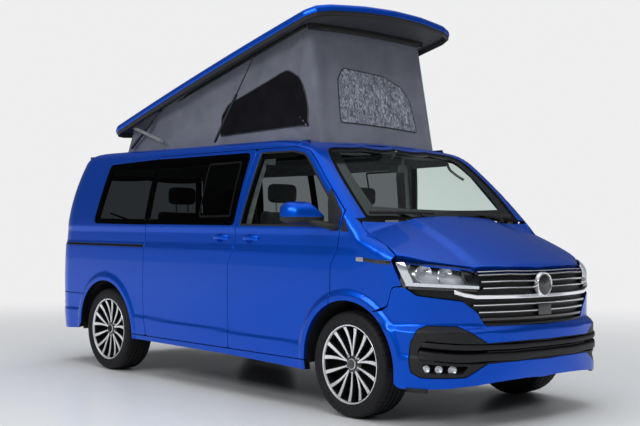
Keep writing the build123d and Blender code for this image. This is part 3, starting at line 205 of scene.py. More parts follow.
def cast(origins, directions, inset, reach=1.3, level=skin_level):
    """Where rays from inside the body come out of it, less an inset."""
    low = np.zeros(len(origins))
    high = np.full(len(origins), reach)
    for _ in range(26):
        middle = (low + high) / 2
        outside = level(origins + directions * middle[:, None]) > -inset
        high = np.where(outside, middle, high)
        low = np.where(outside, low, middle)
    return origins + directions * ((low + high) / 2)[:, None]


def slope(points, level=skin_level, reach=0.0015):
    """The outward normal of the body's form at points."""
    made = np.zeros_like(points)
    for axis in range(3):
        shift = np.zeros(3)
        shift[axis] = reach
        made[:, axis] = level(points + shift) - level(points - shift)
    return made / np.maximum(np.linalg.norm(made, axis=1), 1e-9)[:, None]


# ---- Ways to place a flat outline on the body ----
FRONT_PIVOT, FRONT_TURN = (0.42, -1.88), 0.52
REAR_PIVOT, REAR_TURN = (0.70, 2.17), 0.25
GIRTH_SIDE = FRONT_PIVOT[0] + FRONT_TURN * math.pi / 2
GIRTH_REAR = GIRTH_SIDE + REAR_PIVOT[1] - FRONT_PIVOT[1]
GIRTH_TAIL = GIRTH_REAR + REAR_TURN * math.pi / 2


def girth(x, y):
    """How far along the body's girth, from the middle of the nose, a place in plan is."""
    side = math.copysign(1.0, x)
    x = abs(x)
    if y < FRONT_PIVOT[1]:
        if x < FRONT_PIVOT[0]:
            return side * x
        return side * (FRONT_PIVOT[0] + FRONT_TURN * math.atan2(x - FRONT_PIVOT[0], FRONT_PIVOT[1] - y))
    if y <= REAR_PIVOT[1]:
        return side * (GIRTH_SIDE + y - FRONT_PIVOT[1])
    if x > REAR_PIVOT[0]:
        return side * (GIRTH_REAR + REAR_TURN * math.atan2(y - REAR_PIVOT[1], x - REAR_PIVOT[0]))
    return side * (GIRTH_TAIL + REAR_PIVOT[0] - x)


def on_girth(points, inset=0.0, level=skin_level):
    """Places a flat outline, along the girth and up, on the body's walls."""
    u, side = np.abs(points[:, 0]), np.where(points[:, 0] < 0, -1.0, 1.0)
    front = np.clip((u - FRONT_PIVOT[0]) / FRONT_TURN, 0, math.pi / 2)
    rear = np.clip((u - GIRTH_REAR) / REAR_TURN, 0, math.pi / 2)
    turn = front + rear - math.pi / 2
    x = np.minimum(u, FRONT_PIVOT[0])
    x = np.where(u > GIRTH_SIDE, FRONT_PIVOT[0] + np.clip(u - GIRTH_SIDE, 0, REAR_PIVOT[0] - FRONT_PIVOT[0]),
                 x)
    x = np.where(u > GIRTH_TAIL, REAR_PIVOT[0] - (u - GIRTH_TAIL), x)
    y = FRONT_PIVOT[1] + np.clip(u - GIRTH_SIDE, 0, REAR_PIVOT[1] - FRONT_PIVOT[1])
    origins = np.stack([x * side, y, points[:, 1]], 1)
    directions = np.stack([np.cos(turn) * side, np.sin(turn), np.zeros(len(u))], 1)
    return cast(origins, directions, inset, level=level)


class Chart:
    """Places flat outlines along rays from one point inside the body; facing is the end of Y it looks to."""

    def __init__(self, pivot, scale=1.0, facing=-1):
        self.pivot, self.scale, self.facing = np.array(pivot), scale, facing

    def flat(self, points):
        d = np.array([p[:3] for p in points]) - self.pivot
        turn = np.arctan2(d[:, 0], self.facing * d[:, 1]) * self.scale
        rise = np.arctan2(d[:, 2], np.hypot(d[:, 0], d[:, 1])) * self.scale
        return [(a, b, *p[3:]) for a, b, p in zip(turn, rise, points)]

    def __call__(self, points, inset=0.0, level=skin_level):
        turn, rise = points[:, 0] / self.scale, points[:, 1] / self.scale
        flat = np.cos(rise)
        way = np.stack([np.sin(turn) * flat, self.facing * np.cos(turn) * flat, np.sin(rise)], 1)
        return cast(np.tile(self.pivot, (len(points), 1)), way, inset, 1.6, level)


class Above:
    """Places plan outlines straight up from a level inside the body."""

    def __init__(self, base_z):
        self.base_z = base_z

    def flat(self, points):
        return [(p[0], p[1], *p[3:]) for p in points]

    def __call__(self, points, inset=0.0, level=skin_level):
        origins = np.column_stack([points, np.full(len(points), self.base_z)])
        return cast(origins, np.tile((0.0, 0.0, 1.0), (len(points), 1)), inset, level=level)


NOSE = Chart((0.0, -1.45, 0.72), 0.95)
WING = Chart((0.35, -1.55, 0.65), 0.60)
SCREEN_RAYS = Chart((0.0, -0.75, 1.30), 0.70)
TAIL = Chart((0.0, 1.30, 1.15), 1.10, 1)
BUMPER_RAYS = Chart((0.0, 1.50, 0.55), 0.95, 1)
OVER_BONNET = Above(0.60)
OVER_ROOF = Above(1.20)


def lay(place, outline):
    """The places in space of a flat outline, as corners that another chart can flatten."""
    return [tuple(p) for p in place(np.array([q[:2] for q in outline]))]


def both_halves(half):
    """A closed loop across the middle from its left half, which starts and ends near x 0."""
    return list(half) + [(-p[0], *p[1:]) for p in reversed(half) if abs(p[0]) > 1e-6]


# ---- Flat outlines ----
def rounded(corners, radius=0.02, count=5):
    """A closed outline with rounded corners; a corner is (x, y) or (x, y, its own radius)."""
    made = []
    for k, corner in enumerate(corners):
        here = Vector(corner[:2])
        reach = corner[2] if len(corner) > 2 else radius
        before = Vector(corners[k - 1][:2]) - here
        after = Vector(corners[(k + 1) % len(corners)][:2]) - here
        half = before.angle(after, math.pi) / 2
        cut = min(reach / max(math.tan(half), 1e-6), before.length * 0.49, after.length * 0.49)
        start, end = here + before.normalized() * cut, here + after.normalized() * cut
        if reach <= 0 or half > math.pi / 2 - 0.01:
            made.append(tuple(here))
            continue
        for n in range(count + 1):
            t = n / count
            made.append(tuple(start * (1 - t) ** 2 + here * 2 * t * (1 - t) + end * t * t))
    return made


def subdivide(loop, spacing):
    """The same closed loop with no edge longer than a spacing."""
    made = []
    for a, b in zip(loop, loop[1:] + loop[:1]):
        count = max(1, math.ceil(math.dist(a, b) / spacing))
        made += [(a[0] + (b[0] - a[0]) * k / count, a[1] + (b[1] - a[1]) * k / count) for k in range(count)]
    return made


def signed_area(loop):
    """The area of a closed loop, above 0 if it runs anticlockwise."""
    return sum(a[0] * b[1] - b[0] * a[1] for a, b in zip(loop, loop[1:] + loop[:1])) / 2


def left_normals(loop):
    """At each point of a closed loop, the direction to its left, longer at sharp corners."""
    points = np.array(loop)
    ahead = np.roll(points, -1, 0) - points
    ahead /= np.maximum(np.linalg.norm(ahead, axis=1), 1e-9)[:, None]
    behind = np.roll(ahead, 1, 0)
    both = np.stack([-(ahead + behind)[:, 1], (ahead + behind)[:, 0]], 1)
    bend = 1 + (ahead * behind).sum(1)
    return both / np.maximum(bend, 0.6)[:, None]


def inside_loops(points, loops):
    """Which points are inside an odd number of closed loops."""
    odd = np.zeros(len(points), bool)
    for loop in loops:
        a = np.array(loop)
        b = np.roll(a, -1, 0)
        for (ax, ay), (bx, by) in zip(a, b):
            if ay == by:
                continue
            spans = (ay > points[:, 1]) != (by > points[:, 1])
            odd ^= spans & (points[:, 0] < (bx - ax) * (points[:, 1] - ay) / (by - ay) + ax)
    return odd


def fill(loops, spacing):
    """Points and triangles of the area inside loops; the loops' own points come first."""
    points = [p for loop in loops for p in loop]
    edges, start = [], 0
    for loop in loops:
        edges += [(start + k, start + (k + 1) % len(loop)) for k in range(len(loop))]
        start += len(loop)
    rim = np.array(points)
    low, high = rim.min(0), rim.max(0)
    xs = np.arange(low[0] + spacing / 2, high[0], spacing)
    ys = np.arange(low[1] + spacing / 2, high[1], spacing)
    grid = np.stack(np.meshgrid(xs, ys), -1).reshape(-1, 2)
    grid = grid[inside_loops(grid, loops)]
    clear = np.ones(len(grid), bool)
    for chunk in range(0, len(rim), 200):
        gap = np.hypot(*(grid[:, None] - rim[None, chunk:chunk + 200]).transpose(2, 0, 1)).min(1)
        clear &= gap > spacing * 0.45
    points += [tuple(p) for p in grid[clear]]
    made = delaunay_2d_cdt([Vector(p) for p in points], edges, [], 0, 1e-7, True)
    where = []
    for place, ids in zip(made[0], made[3]):
        where.append(ids[0] if ids else len(points))
        if not ids:
            points.append(tuple(place))
    faces = np.array([[where[k] for k in face] for face in made[2]])
    points = np.array(points)
    middles = points[faces].mean(1)
    return points, faces[inside_loops(middles, loops)]


class Surface:
    """Points, normals and faces that are gathered into one mesh."""

    def __init__(self):
        self.points, self.normals, self.faces, self.slots = [], [], [], []
        self.count = 0

    def add(self, points, normals):
        start = self.count
        self.points.append(points)
        self.normals.append(normals)
        self.count += len(points)
        return np.arange(start, self.count)

    def face(self, faces, slot=0):
        self.faces += [tuple(int(k) for k in f) for f in faces]
        self.slots += [slot] * len(faces)

    def strip(self, ring_a, ring_b, slot=0, closed=True):
        """Quads between two rings of points."""
        a2, b2 = np.roll(ring_a, -1), np.roll(ring_b, -1)
        quads = np.stack([ring_a, a2, b2, ring_b], 1)
        self.face(quads if closed else quads[:-1], slot)

    def build(self, name, materials, side=1):
        """Makes the mesh; side -1 makes its mirror image on the right of the van."""
        mesh = bpy.data.meshes.new(name)
        faces = self.faces if side > 0 else [f[::-1] for f in self.faces]
        mesh.from_pydata((np.concatenate(self.points) * (side, 1, 1)).tolist(), [], faces)
        mesh.polygons.foreach_set("material_index", self.slots)
        mesh.polygons.foreach_set("use_smooth", [True] * len(mesh.polygons))
        mesh.update()
        mesh.normals_split_custom_set_from_vertices((np.concatenate(self.normals) * (side, 1, 1)).tolist())
        for material in materials:
            mesh.materials.append(material)
        made = bpy.data.objects.new(name, mesh)
        bpy.context.scene.collection.objects.link(made)
        return made


def panel(surface, outline, holes=(), place=on_girth, spacing=0.02, hem=0.003, depth=0.018, back=None,
          lift=0.0, slots=(0, 0, 1), level=skin_level, back_spacing=0.06):
    """Adds a panel: its skin, a rounded hem round every edge, a flange, and a back if it is thick."""
    loops = []
    for k, loop in enumerate((outline, *holes)):
        loop = subdivide(list(loop), spacing)
        if (signed_area(loop) > 0) != (k == 0):
            loop.reverse()
        loops.append(loop)
    inner = []
    for loop in loops:
        inner.append([tuple(p) for p in np.array(loop) + left_normals(loop) * hem])
    points, faces = fill(inner, spacing)
    skin = place(points, -lift, level)
    top = surface.add(skin, slope(skin, level))
    facing = np.cross(skin[faces[:, 1]] - skin[faces[:, 0]], skin[faces[:, 2]] - skin[faces[:, 0]])
    flip = (facing * slope(skin[faces[:, 0]], level)).sum(1).mean() < 0
    surface.face(top[faces[:, ::-1] if flip else faces], slots[0])
    rims = []
    start = 0
    for loop, shrunk in zip(loops, inner):
        flange = slots[1] if start == 0 else slots[-1] if len(slots) > 3 else slots[1]
        count = len(loop)
        ring = top[start:start + count]
        start += count
        out = -left_normals(loop)
        edge = np.array(shrunk)
        away = place(edge + out * 0.004, -lift, level) - place(edge, -lift, level)
        away /= np.maximum(np.linalg.norm(away, axis=1), 1e-9)[:, None]
        normal = slope(place(edge, -lift, level), level)
        for share in (1 / 3, 2 / 3, 1):
            angle = share * math.pi / 2
            inset = hem * (1 - math.cos(angle)) - lift
            rim = place(edge + out * hem * math.sin(angle), inset, level)
            new = surface.add(rim, normal * math.cos(angle) + away * math.sin(angle))
            surface.strip(*((new, ring) if not flip else (ring, new)), slots[0])
            ring = new
        low = back if back else depth
        outer = edge + out * hem
        new = surface.add(place(outer, low - lift, level), away)
        surface.strip(*((new, ring) if not flip else (ring, new)), flange)
        rims.append(outer)
    if back:
        flat, faces = fill([[tuple(p) for p in rim] for rim in rims], back_spacing)
        under = place(flat, back - lift, level)
        new = surface.add(under, -slope(under, level))
        surface.face(new[faces if flip else faces[:, ::-1]], slots[2])


# ---- Makers for the smaller pieces ----
def smooth_by_angle(obj, angle=38.0):
    """Shades an object smooth except at edges sharper than an angle in degrees."""
    obj.data.polygons.foreach_set("use_smooth", [True] * len(obj.data.polygons))
    obj.data.set_sharp_from_angle(angle=math.radians(angle))
    return obj


def from_faces(name, points, faces, materials, slots=None, angle=38.0, bevel=0.0):
    """An object from plain points and faces, with its edges rounded if a bevel is given."""
    mesh = bpy.data.meshes.new(name)
    mesh.from_pydata([tuple(p) for p in points], [], [tuple(f) for f in faces])
    for material in materials:
        mesh.materials.append(material)
    if slots is not None:
        mesh.polygons.foreach_set("material_index", slots)
    made = bpy.data.objects.new(name, mesh)
    bpy.context.scene.collection.objects.link(made)
    if bevel:
        rounding = made.modifiers.new("rounding", "BEVEL")
        rounding.width, rounding.segments, rounding.limit_method = bevel, 2, "ANGLE"
        rounding.angle_limit = math.radians(30)
        apply_modifiers(made)
    return smooth_by_angle(made, angle)


def apply_modifiers(obj):
    """Puts the result of an object's modifiers into its mesh."""
    depsgraph = bpy.context.evaluated_depsgraph_get()
    mesh = bpy.data.meshes.new_from_object(obj.evaluated_get(depsgraph))
    obj.modifiers.clear()
    obj.data = mesh


def quads(here, after, count, closed=True):
    """Faces between two rows of points, which begin at two numbers."""
    return [(here + n, here + (n + 1) % count, after + (n + 1) % count, after + n)
            for n in range(count if closed else count - 1)]


def lathe(profile, steps=64, axis="x"):
    """Points and faces of a profile, as reach along the axis and radius, turned about it."""
    points, faces = [], []
    count = len(profile)
    for k in range(steps):
        a = 2 * math.pi * k / steps
        for along, r in profile:
            ring = (r * math.cos(a), r * math.sin(a))
            points.append({"x": (along, *ring), "y": (ring[1], along, ring[0]), "z": (*ring, along)}[axis])
    for k in range(steps):
        faces += quads(k * count, (k + 1) % steps * count, count, False)
    return points, faces


def box_faces(low, high):
    """Points and faces of a box between two corners."""
    (x0, y0, z0), (x1, y1, z1) = low, high
    points = [(x, y, z) for z in (z0, z1) for x, y in ((x0, y0), (x1, y0), (x1, y1), (x0, y1))]
    return points, [(3, 2, 1, 0), (4, 5, 6, 7), *quads(0, 4, 4)]


def sweep(path, section, up=(0, 0, 1), closed=False):
    """A section, as sideways and up, carried along a path of points."""
    path = [Vector(p) for p in path]
    points, faces = [], []
    count, last = len(section), len(path)
    for k, here in enumerate(path):
        before = path[k - 1] if k or closed else here
        after = path[(k + 1) % last] if k < last - 1 or closed else here
        way = (after - before).normalized()
        side = way.cross(Vector(up))
        side = side.normalized() if side.length > 1e-6 else Vector((1, 0, 0))
        rise = side.cross(way)
        points += [here + side * a + rise * b for a, b in section]
    for k in range(last if closed else last - 1):
        faces += quads(k * count, (k + 1) % last * count, count)
    if not closed:
        faces += [tuple(range(count)), tuple(reversed(range((last - 1) * count, last * count)))]
    return points, faces


def circle(radius, count=10, flat=1.0):
    """A round section; flat squeezes it in height."""
    return [(radius * math.cos(2 * math.pi * k / count), radius * flat * math.sin(2 * math.pi * k / count))
            for k in range(count)]


def oblong(wide, low, high, top_wide=None):
    """A four-cornered section for a bar, as wide each way at its foot and at its top."""
    top_wide = wide if top_wide is None else top_wide
    return [(-wide, low), (wide, low), (top_wide, high), (-top_wide, high)]


def bent(points, count=12):
    """A smooth path through points."""
    made, points = [], [Vector(p) for p in points]
    for k in range(len(points) - 1):
        a, b = points[k], points[k + 1]
        before, after = points[max(k - 1, 0)], points[min(k + 2, len(points) - 1)]
        for n in range(count):
            t = n / count
            made.append(0.5 * ((2 * a) + (b - before) * t + (2 * before - 5 * a + 4 * b - after) * t * t
                               + (3 * a - before - 3 * b + after) * t**3))
    return made + [points[-1]]


class Parts:
    """Several simple shapes gathered into one mesh."""

    def __init__(self):
        self.points, self.faces, self.slots = [], [], []

    def add(self, shape, slot=0, move=(0, 0, 0), turn=None):
        """Adds a shape, turned and then moved; slot is one material slot or a list of one for each face."""
        points, faces = shape
        start = len(self.points)
        for p in points:
            p = Vector(p)
            if turn is not None:
                p = turn @ p
            self.points.append(p + Vector(move))
        self.faces += [tuple(k + start for k in f) for f in faces]
        self.slots += slot if isinstance(slot, list) else [slot] * len(faces)

    def build(self, name, materials, side=1, **more):
        points = [Vector((p.x * side, p.y, p.z)) for p in self.points]
        faces = self.faces if side > 0 else [f[::-1] for f in self.faces]
        return from_faces(name, points, faces, materials, self.slots, **more)


def finished(obj, body, slot, *nodes):
    """Puts a piece on its body in place of CAD nodes; its slot is not used."""
    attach(obj, body)
    if nodes:
        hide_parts(*nodes)
    return obj


def panel_piece(name, outline, materials, body, slot, *nodes, side=1, **more):
    """A piece that is one panel."""
    return panels_piece(name, [(outline, more)], materials, body, slot, *nodes, side=side)


def panels_piece(name, panels, materials, body, slot, *nodes, side=1):
    """A piece of several panels, each given as its outline and panel()'s settings for it."""
    surface = Surface()
    for outline, settings in panels:
        panel(surface, outline, **settings)
    return finished(surface.build(name, materials, side), body, slot, *nodes)


def shapes_piece(name, shapes, materials, body, slot, *nodes, side=1, **more):
    """A piece of several simple shapes, each given as the arguments of Parts.add()."""
    gathered = Parts()
    for shape in shapes:
        gathered.add(*shape)
    return finished(gathered.build(name, materials, side, **more), body, slot, *nodes)


# ---- Materials ----
def nodes_of(name):
    """A new material, its node tree and its surface shader."""
    material = bpy.data.materials.new(name)
    material.use_nodes = True
    tree = material.node_tree
    return material, tree, tree.nodes["Principled BSDF"]


def set_inputs(node, values):
    """Sets a node's inputs from a dictionary of their names."""
    for name, value in values.items():
        node.inputs[name].default_value = value


def wire(tree, *pairs):
    """Links pairs of sockets, each from an output to an input."""
    for start, end in pairs:
        tree.links.new(start, end)


def math_node(tree, operation, values=(), clamp=False):
    """A node that works on two or three numbers; values fills its second and third inputs."""
    made = tree.nodes.new("ShaderNodeMath")
    made.operation, made.use_clamp = operation, clamp
    set_inputs(made, dict(enumerate(values, 1)))
    return made


def noise(tree, scale, detail=3.0, kind="ShaderNodeTexNoise"):
    """A texture in the object's own coordinates."""
    where = tree.nodes.new("ShaderNodeTexCoord")
    made = tree.nodes.new(kind)
    made.inputs["Scale"].default_value = scale
    if "Detail" in made.inputs:
        made.inputs["Detail"].default_value = detail
    tree.links.new(where.outputs["Object"], made.inputs["Vector"])
    return made


def add_bump(tree, shader, height, strength, distance):
    bump = tree.nodes.new("ShaderNodeBump")
    set_inputs(bump, {"Strength": strength, "Distance": distance})
    wire(tree, (height, bump.inputs["Height"]), (bump.outputs["Normal"], shader.inputs["Normal"]))


def varied(tree, value, dark, light, target):
    """Drives a colour socket between two colours by a texture's value."""
    ramp = tree.nodes.new("ShaderNodeValToRGB")
    low, high = ramp.color_ramp.elements
    low.position, low.color = 0.35, (*dark, 1)
    high.position, high.color = 0.65, (*light, 1)
    wire(tree, (value, ramp.inputs["Fac"]), (ramp.outputs["Color"], target))


def plain(name, color, roughness, metallic=0.0, grain=400.0, strength=0.15, distance=0.0004, shade=0.12,
          coat=0.0, shine=0.5):
    """A moulded, cast or painted finish: a slightly uneven colour over a fine grain."""
    material, tree, shader = nodes_of(name)
    set_inputs(shader,
               {"Roughness": roughness, "Metallic": metallic, "Coat Weight": coat, "Coat Roughness": 0.04,
                        "Specular IOR Level": shine})
    cloud = noise(tree, grain / 30)
    dark = tuple(c * (1 - shade) for c in color)
    light = tuple(min(1.0, c * (1 + shade)) for c in color)
    varied(tree, cloud.outputs["Fac"], dark, light, shader.inputs["Base Color"])
    if strength:
        add_bump(tree, shader, noise(tree, grain).outputs["Fac"], strength, distance)
    return material


def car_paint():
    """Metallic blue: flakes under a clear coat."""
    material, tree, shader = nodes_of("paint_blue")
    set_inputs(shader, {"Metallic": 0.80, "Roughness": 0.33, "Specular IOR Level": 0.1, "Coat Weight": 0.35,
                        "Coat IOR": 1.38, "Coat Roughness": 0.03})
    flakes = noise(tree, 2600.0, kind="ShaderNodeTexVoronoi")
    varied(tree, flakes.outputs["Distance"], (0.000, 0.046, 0.420), (0.000, 0.078, 0.590),
           shader.inputs["Base Color"])
    add_bump(tree, shader, flakes.outputs["Distance"], 0.04, 0.0003)
    return material


def glass(name, tint, clear):
    """Thin glass: part of the light goes straight through, tinted; the rest is reflected, most at a slant."""
    material, tree, shader = nodes_of(name)
    tree.nodes.remove(shader)
    through = tree.nodes.new("ShaderNodeBsdfTransparent")
    set_inputs(through, {"Color": (*tint, 1)})
    shine = tree.nodes.new("ShaderNodeBsdfPrincipled")
    set_inputs(shine, {"Base Color": (0, 0, 0, 1), "Roughness": 0.02, "Specular IOR Level": 0.8})
    facing = tree.nodes.new("ShaderNodeLayerWeight")
    set_inputs(facing, {"Blend": 0.5})
    rise = math_node(tree, "POWER", (4.0,))
    share = math_node(tree, "MULTIPLY_ADD", (0.80, 1 - clear), True)
    mix = tree.nodes.new("ShaderNodeMixShader")
    add_bump(tree, shine, noise(tree, 1.2).outputs["Fac"], 0.05, 0.002)
    wire(tree, (facing.outputs["Facing"], rise.inputs[0]), (rise.outputs[0], share.inputs[0]),
         (share.outputs[0], mix.inputs["Fac"]), (through.outputs[0], mix.inputs[1]),
         (shine.outputs[0], mix.inputs[2]), (mix.outputs[0], tree.nodes["Material Output"].inputs["Surface"]))
    return material


def cloth(name, dark, light, threads=900.0, roughness=0.9, strength=0.35, sheen=0.25, shine=0.4):
    """Woven cloth: crossed threads, an uneven dye and a soft sheen."""
    material, tree, shader = nodes_of(name)
    set_inputs(shader, {"Roughness": roughness, "Sheen Weight": sheen, "Sheen Roughness": 0.5,
                        "Specular IOR Level": shine})
    varied(tree, noise(tree, 6.0, 5.0).outputs["Fac"], dark, light, shader.inputs["Base Color"])
    where = tree.nodes.new("ShaderNodeTexCoord")
    total = None
    for axis in ("X", "Y", "Z"):
        wave = tree.nodes.new("ShaderNodeTexWave")
        wave.bands_direction = axis
        set_inputs(wave, {"Scale": threads / 20})
        wire(tree, (where.outputs["Object"], wave.inputs["Vector"]))
        if total is None:
            total = wave.outputs["Fac"]
        else:
            crossed = math_node(tree, "MULTIPLY")
            wire(tree, (total, crossed.inputs[0]), (wave.outputs["Fac"], crossed.inputs[1]))
            total = crossed.outputs[0]
    add_bump(tree, shader, total, strength, 0.0008)
    return material


PAINT = car_paint()
BLACK = plain("plastic_black", (0.010, 0.010, 0.011), 0.50, grain=900, strength=0.3, shine=0.3)
GLOSS = plain("gloss_black", (0.006, 0.006, 0.007), 0.12, strength=0.0, coat=0.6)
# Near-black: the rubber of the windscreen seal and the vent frames, and painted shade in the shut-line and
# window flanges, the intake's recesses, the slider rail's groove and behind the wheel spokes.
SHADOW = plain("rubber_and_painted_shade", (0.003, 0.003, 0.003), 0.8, shine=0.1)
TRIM = plain("trim_grey", (0.30, 0.31, 0.32), 0.75, grain=700, strength=0.25)
LINER = cloth("headliner", (0.40, 0.41, 0.42), (0.50, 0.51, 0.52), roughness=0.95)
CHROME = plain("chrome", (0.88, 0.89, 0.91), 0.12, metallic=0.80, strength=0.0, shade=0.03)
SATIN = plain("satin_steel", (0.55, 0.56, 0.58), 0.32, metallic=1.0, grain=500, strength=0.1)
CLEAR = glass("glass_clear", (0.86, 0.93, 0.90), clear=0.93)
PRIVACY = glass("glass_privacy", (0.16, 0.17, 0.18), clear=0.96)
LENS = glass("lens_clear", (0.93, 0.95, 0.97), clear=0.94)
RED_LENS = plain("lens_red", (0.55, 0.010, 0.012), 0.10, strength=0.0, coat=1.0)
LAMP_SILVER = plain("lamp_silver", (0.80, 0.81, 0.83), 0.22, metallic=0.45, strength=0.0)
LENS_WHITE = plain("lens_white", (0.80, 0.78, 0.78), 0.12, strength=0.0, coat=1.0)
PLATE = plain("plate_blank", (0.70, 0.70, 0.68), 0.35, strength=0.05)
UNDERSEAL = plain("underseal", (0.008, 0.008, 0.009), 0.85, grain=260, strength=0.5, distance=0.002,
                  shine=0.2)
CAST = plain("cast_iron", (0.10, 0.10, 0.105), 0.65, metallic=0.6, grain=220, strength=0.5, distance=0.001)


# ---- Panels of the sides ----
def on_side(points):
    """An outline in side view, y and z, as one along the girth."""
    start = GIRTH_SIDE - FRONT_PIVOT[1]
    return [(start + p[0], *p[1:]) for p in points]


def arch_edge(axle_y, start_deg, end_deg, count=40):
    """Points of a wheel arch's edge; the angle runs from the rear, over the top, to the front."""
    made = []
    for k in range(count + 1):
        a = math.radians(start_deg + (end_deg - start_deg) * k / count)
        made.append((axle_y + ARCH_EDGE_R * math.cos(a), TYRE_R + ARCH_EDGE_R * math.sin(a)))
    return made


def shut_line(y, top_z, top_r):
    """The line between two doors, from the roof rail down to the sill."""
    return [(y - 0.155, top_z, top_r), (y - 0.062, BELT_Z - 0.020, 0.06), (y - 0.055, 1.060, 0.05),
            (y, 0.965, 0.03), (y, SILL_TOP_Z + GAP, 0.02)]


def door_outline():
    """The front door with its window frame, from the arch's top edge round by the nose."""
    front, rear = DOOR_FRONT_Y + GAP, DOOR_SHUT_Y - GAP
    top = math.degrees(math.acos((front - FRONT_AXLE_Y) / ARCH_EDGE_R))
    corners = [
        (front, 0.985, 0.03), (front - 0.042, 1.060, 0.05), (front - 0.062, BELT_Z - 0.040, 0.03),
        (FRONT_AXLE_Y + 0.066 + GAP, BELT_Z + 0.103, 0.006),
        (FRONT_AXLE_Y + 0.425 + GAP, DOOR_TOP_Z - 0.120, 0.02),
        (FRONT_AXLE_Y + 0.525, DOOR_TOP_Z - 0.040, 0.10), (FRONT_AXLE_Y + 0.690, DOOR_TOP_Z - GAP, 0.12),
        *shut_line(rear, DOOR_TOP_Z - GAP, 0.03), (FRONT_AXLE_Y + ARCH_EDGE_R, SILL_TOP_Z + GAP, 0.005),
    ]
    return rounded(corners) + arch_edge(FRONT_AXLE_Y, 0, top)


def door_window(grow=0.0):
    """The front door's window, made larger all round by an amount."""
    rear = DOOR_SHUT_Y - 0.110
    return rounded([
        (FRONT_AXLE_Y + 0.175 - grow, BELT_Z - 0.004 - grow, 0.012),
        (FRONT_AXLE_Y + 0.108 - grow * 1.6, BELT_Z + 0.085, 0.020),
        (FRONT_AXLE_Y + 0.455 - grow, WINDOW_TOP_Z - 0.115 + grow * 0.6, 0.03),
        (FRONT_AXLE_Y + 0.560 - grow * 0.4, WINDOW_TOP_Z - 0.022 + grow, 0.10),
        (FRONT_AXLE_Y + 0.700, WINDOW_TOP_Z + 0.002 + grow, 0.10),
        (rear - 0.100 + grow, WINDOW_TOP_Z + 0.004 + grow, 0.015),
        (rear + grow, BELT_Z - 0.002 - grow, 0.012),
    ])


WINDOW_LOW_Z = BELT_Z + 0.002
BAND_TOP_Z = WINDOW_TOP_Z + 0.004
BAND_FRONT = (-0.318, -0.376)
BAND_REAR = (1.690, 1.588)


def band_outline(front, rear, grow=0.0, front_r=0.05, rear_r=0.05):
    """A window of the rear side glass: front and rear edges, each as y at its foot and its top."""
    return rounded([
        (front[0] - grow, WINDOW_LOW_Z - grow, front_r), (front[1] - grow, BAND_TOP_Z + grow, front_r),
        (rear[1] + grow, BAND_TOP_Z - 0.022 + grow, rear_r),
        (rear[0] + grow, WINDOW_LOW_Z + 0.006 - grow, rear_r),
    ])


def slider_outline():
    """The sliding door: its window is open towards the rear, where the glass runs to the edge."""
    front, rear = DOOR_SHUT_Y + GAP, SLIDER_SHUT_Y - GAP
    return rounded([
        *reversed(shut_line(front, DOOR_TOP_Z - GAP, 0.03)),
        (rear - 0.020, DOOR_TOP_Z - GAP, 0.008), (rear - 0.022, BAND_TOP_Z + 0.002, 0.003),
        (BAND_FRONT[1], BAND_TOP_Z + 0.004, 0.05), (BAND_FRONT[0], WINDOW_LOW_Z, 0.05),
        (rear - 0.002, WINDOW_LOW_Z + 0.001, 0.003), (rear, SILL_Z + 0.24, 0.03),
        (rear - 0.036, SILL_TOP_Z + GAP, 0.02),
    ])


TAILGATE_HALF, TAILGATE_TOP_HALF = 0.817, 0.742
TAIL_LAMP_Z = (0.872, 1.128, 1.262)


def tail_place(x):
    """How far along the side view a place on the tail is, round the corner."""
    return girth(x, TAIL_Y - 0.02) - GIRTH_SIDE + FRONT_PIVOT[1]


def side_panel_outline(fixed):
    """The rear side panel, round the corner to the tailgate's edge; the fixed side reaches the front door."""
    tail, tail_top = tail_place(TAILGATE_HALF + 0.005), tail_place(TAILGATE_TOP_HALF + 0.005)
    lamp_y = tail - 0.112
    joint = math.asin((BUMPER_JOINT_Z - TYRE_R) / ARCH_EDGE_R)
    rear = [
        (REAR_AXLE_Y + ARCH_EDGE_R * math.cos(joint), BUMPER_JOINT_Z, 0.001), (tail, BUMPER_JOINT_Z, 0.004),
        (tail, TAIL_LAMP_Z[0], 0.004), (lamp_y, TAIL_LAMP_Z[0], 0.02), (lamp_y - 0.012, TAIL_LAMP_Z[1], 0.03),
        (tail - 0.004, TAIL_LAMP_Z[2], 0.006), (tail_top, DOOR_TOP_Z + 0.034, 0.02),
    ]
    if fixed:
        lead = shut_line(DOOR_SHUT_Y + GAP, DOOR_TOP_Z + 0.001, 0.01)
    else:
        front = SLIDER_SHUT_Y + GAP
        lead = [
            (front - 0.020, DOOR_TOP_Z + 0.001, 0.004), (front - 0.022, BAND_TOP_Z + 0.004, 0.002),
            (BAND_REAR[1], BAND_TOP_Z - 0.018, 0.05), (BAND_REAR[0], WINDOW_LOW_Z + 0.006, 0.05),
            (front - 0.002, WINDOW_LOW_Z, 0.003), (front, SILL_Z + 0.24, 0.03),
            (front - 0.036, SILL_TOP_Z + GAP, 0.02),
        ]
    corners = rear + lead + [(REAR_AXLE_Y - ARCH_EDGE_R, SILL_TOP_Z + GAP, 0.004)]
    return rounded(corners) + arch_edge(REAR_AXLE_Y, 180, math.degrees(joint))[1:-1]


HANDLE_Z = 1.143
HANDLE_R = 0.036
HANDLE_Y = {"front_door": -0.516, "sliding_door": -0.160}


def handle_hole(which):
    """The round opening behind a door's handle."""
    y = HANDLE_Y[which]
    return on_side([(y + HANDLE_R * math.cos(a), HANDLE_Z + HANDLE_R * 0.86 * math.sin(a))
                    for a in [2 * math.pi * k / 24 for k in range(24)]])


def paint_panel(name, outline, body, *nodes, **more):
    """A painted panel; the flange of a fixed one, and the flange round its holes, is near-black: painted
    shade in the shut lines and openings.
    """
    slots = (0, 1 if body == "root" else 0, 2, 1)
    return panel_piece(name, outline, (PAINT, SHADOW, TRIM), body, "body_paint", *nodes, slots=slots, **more)


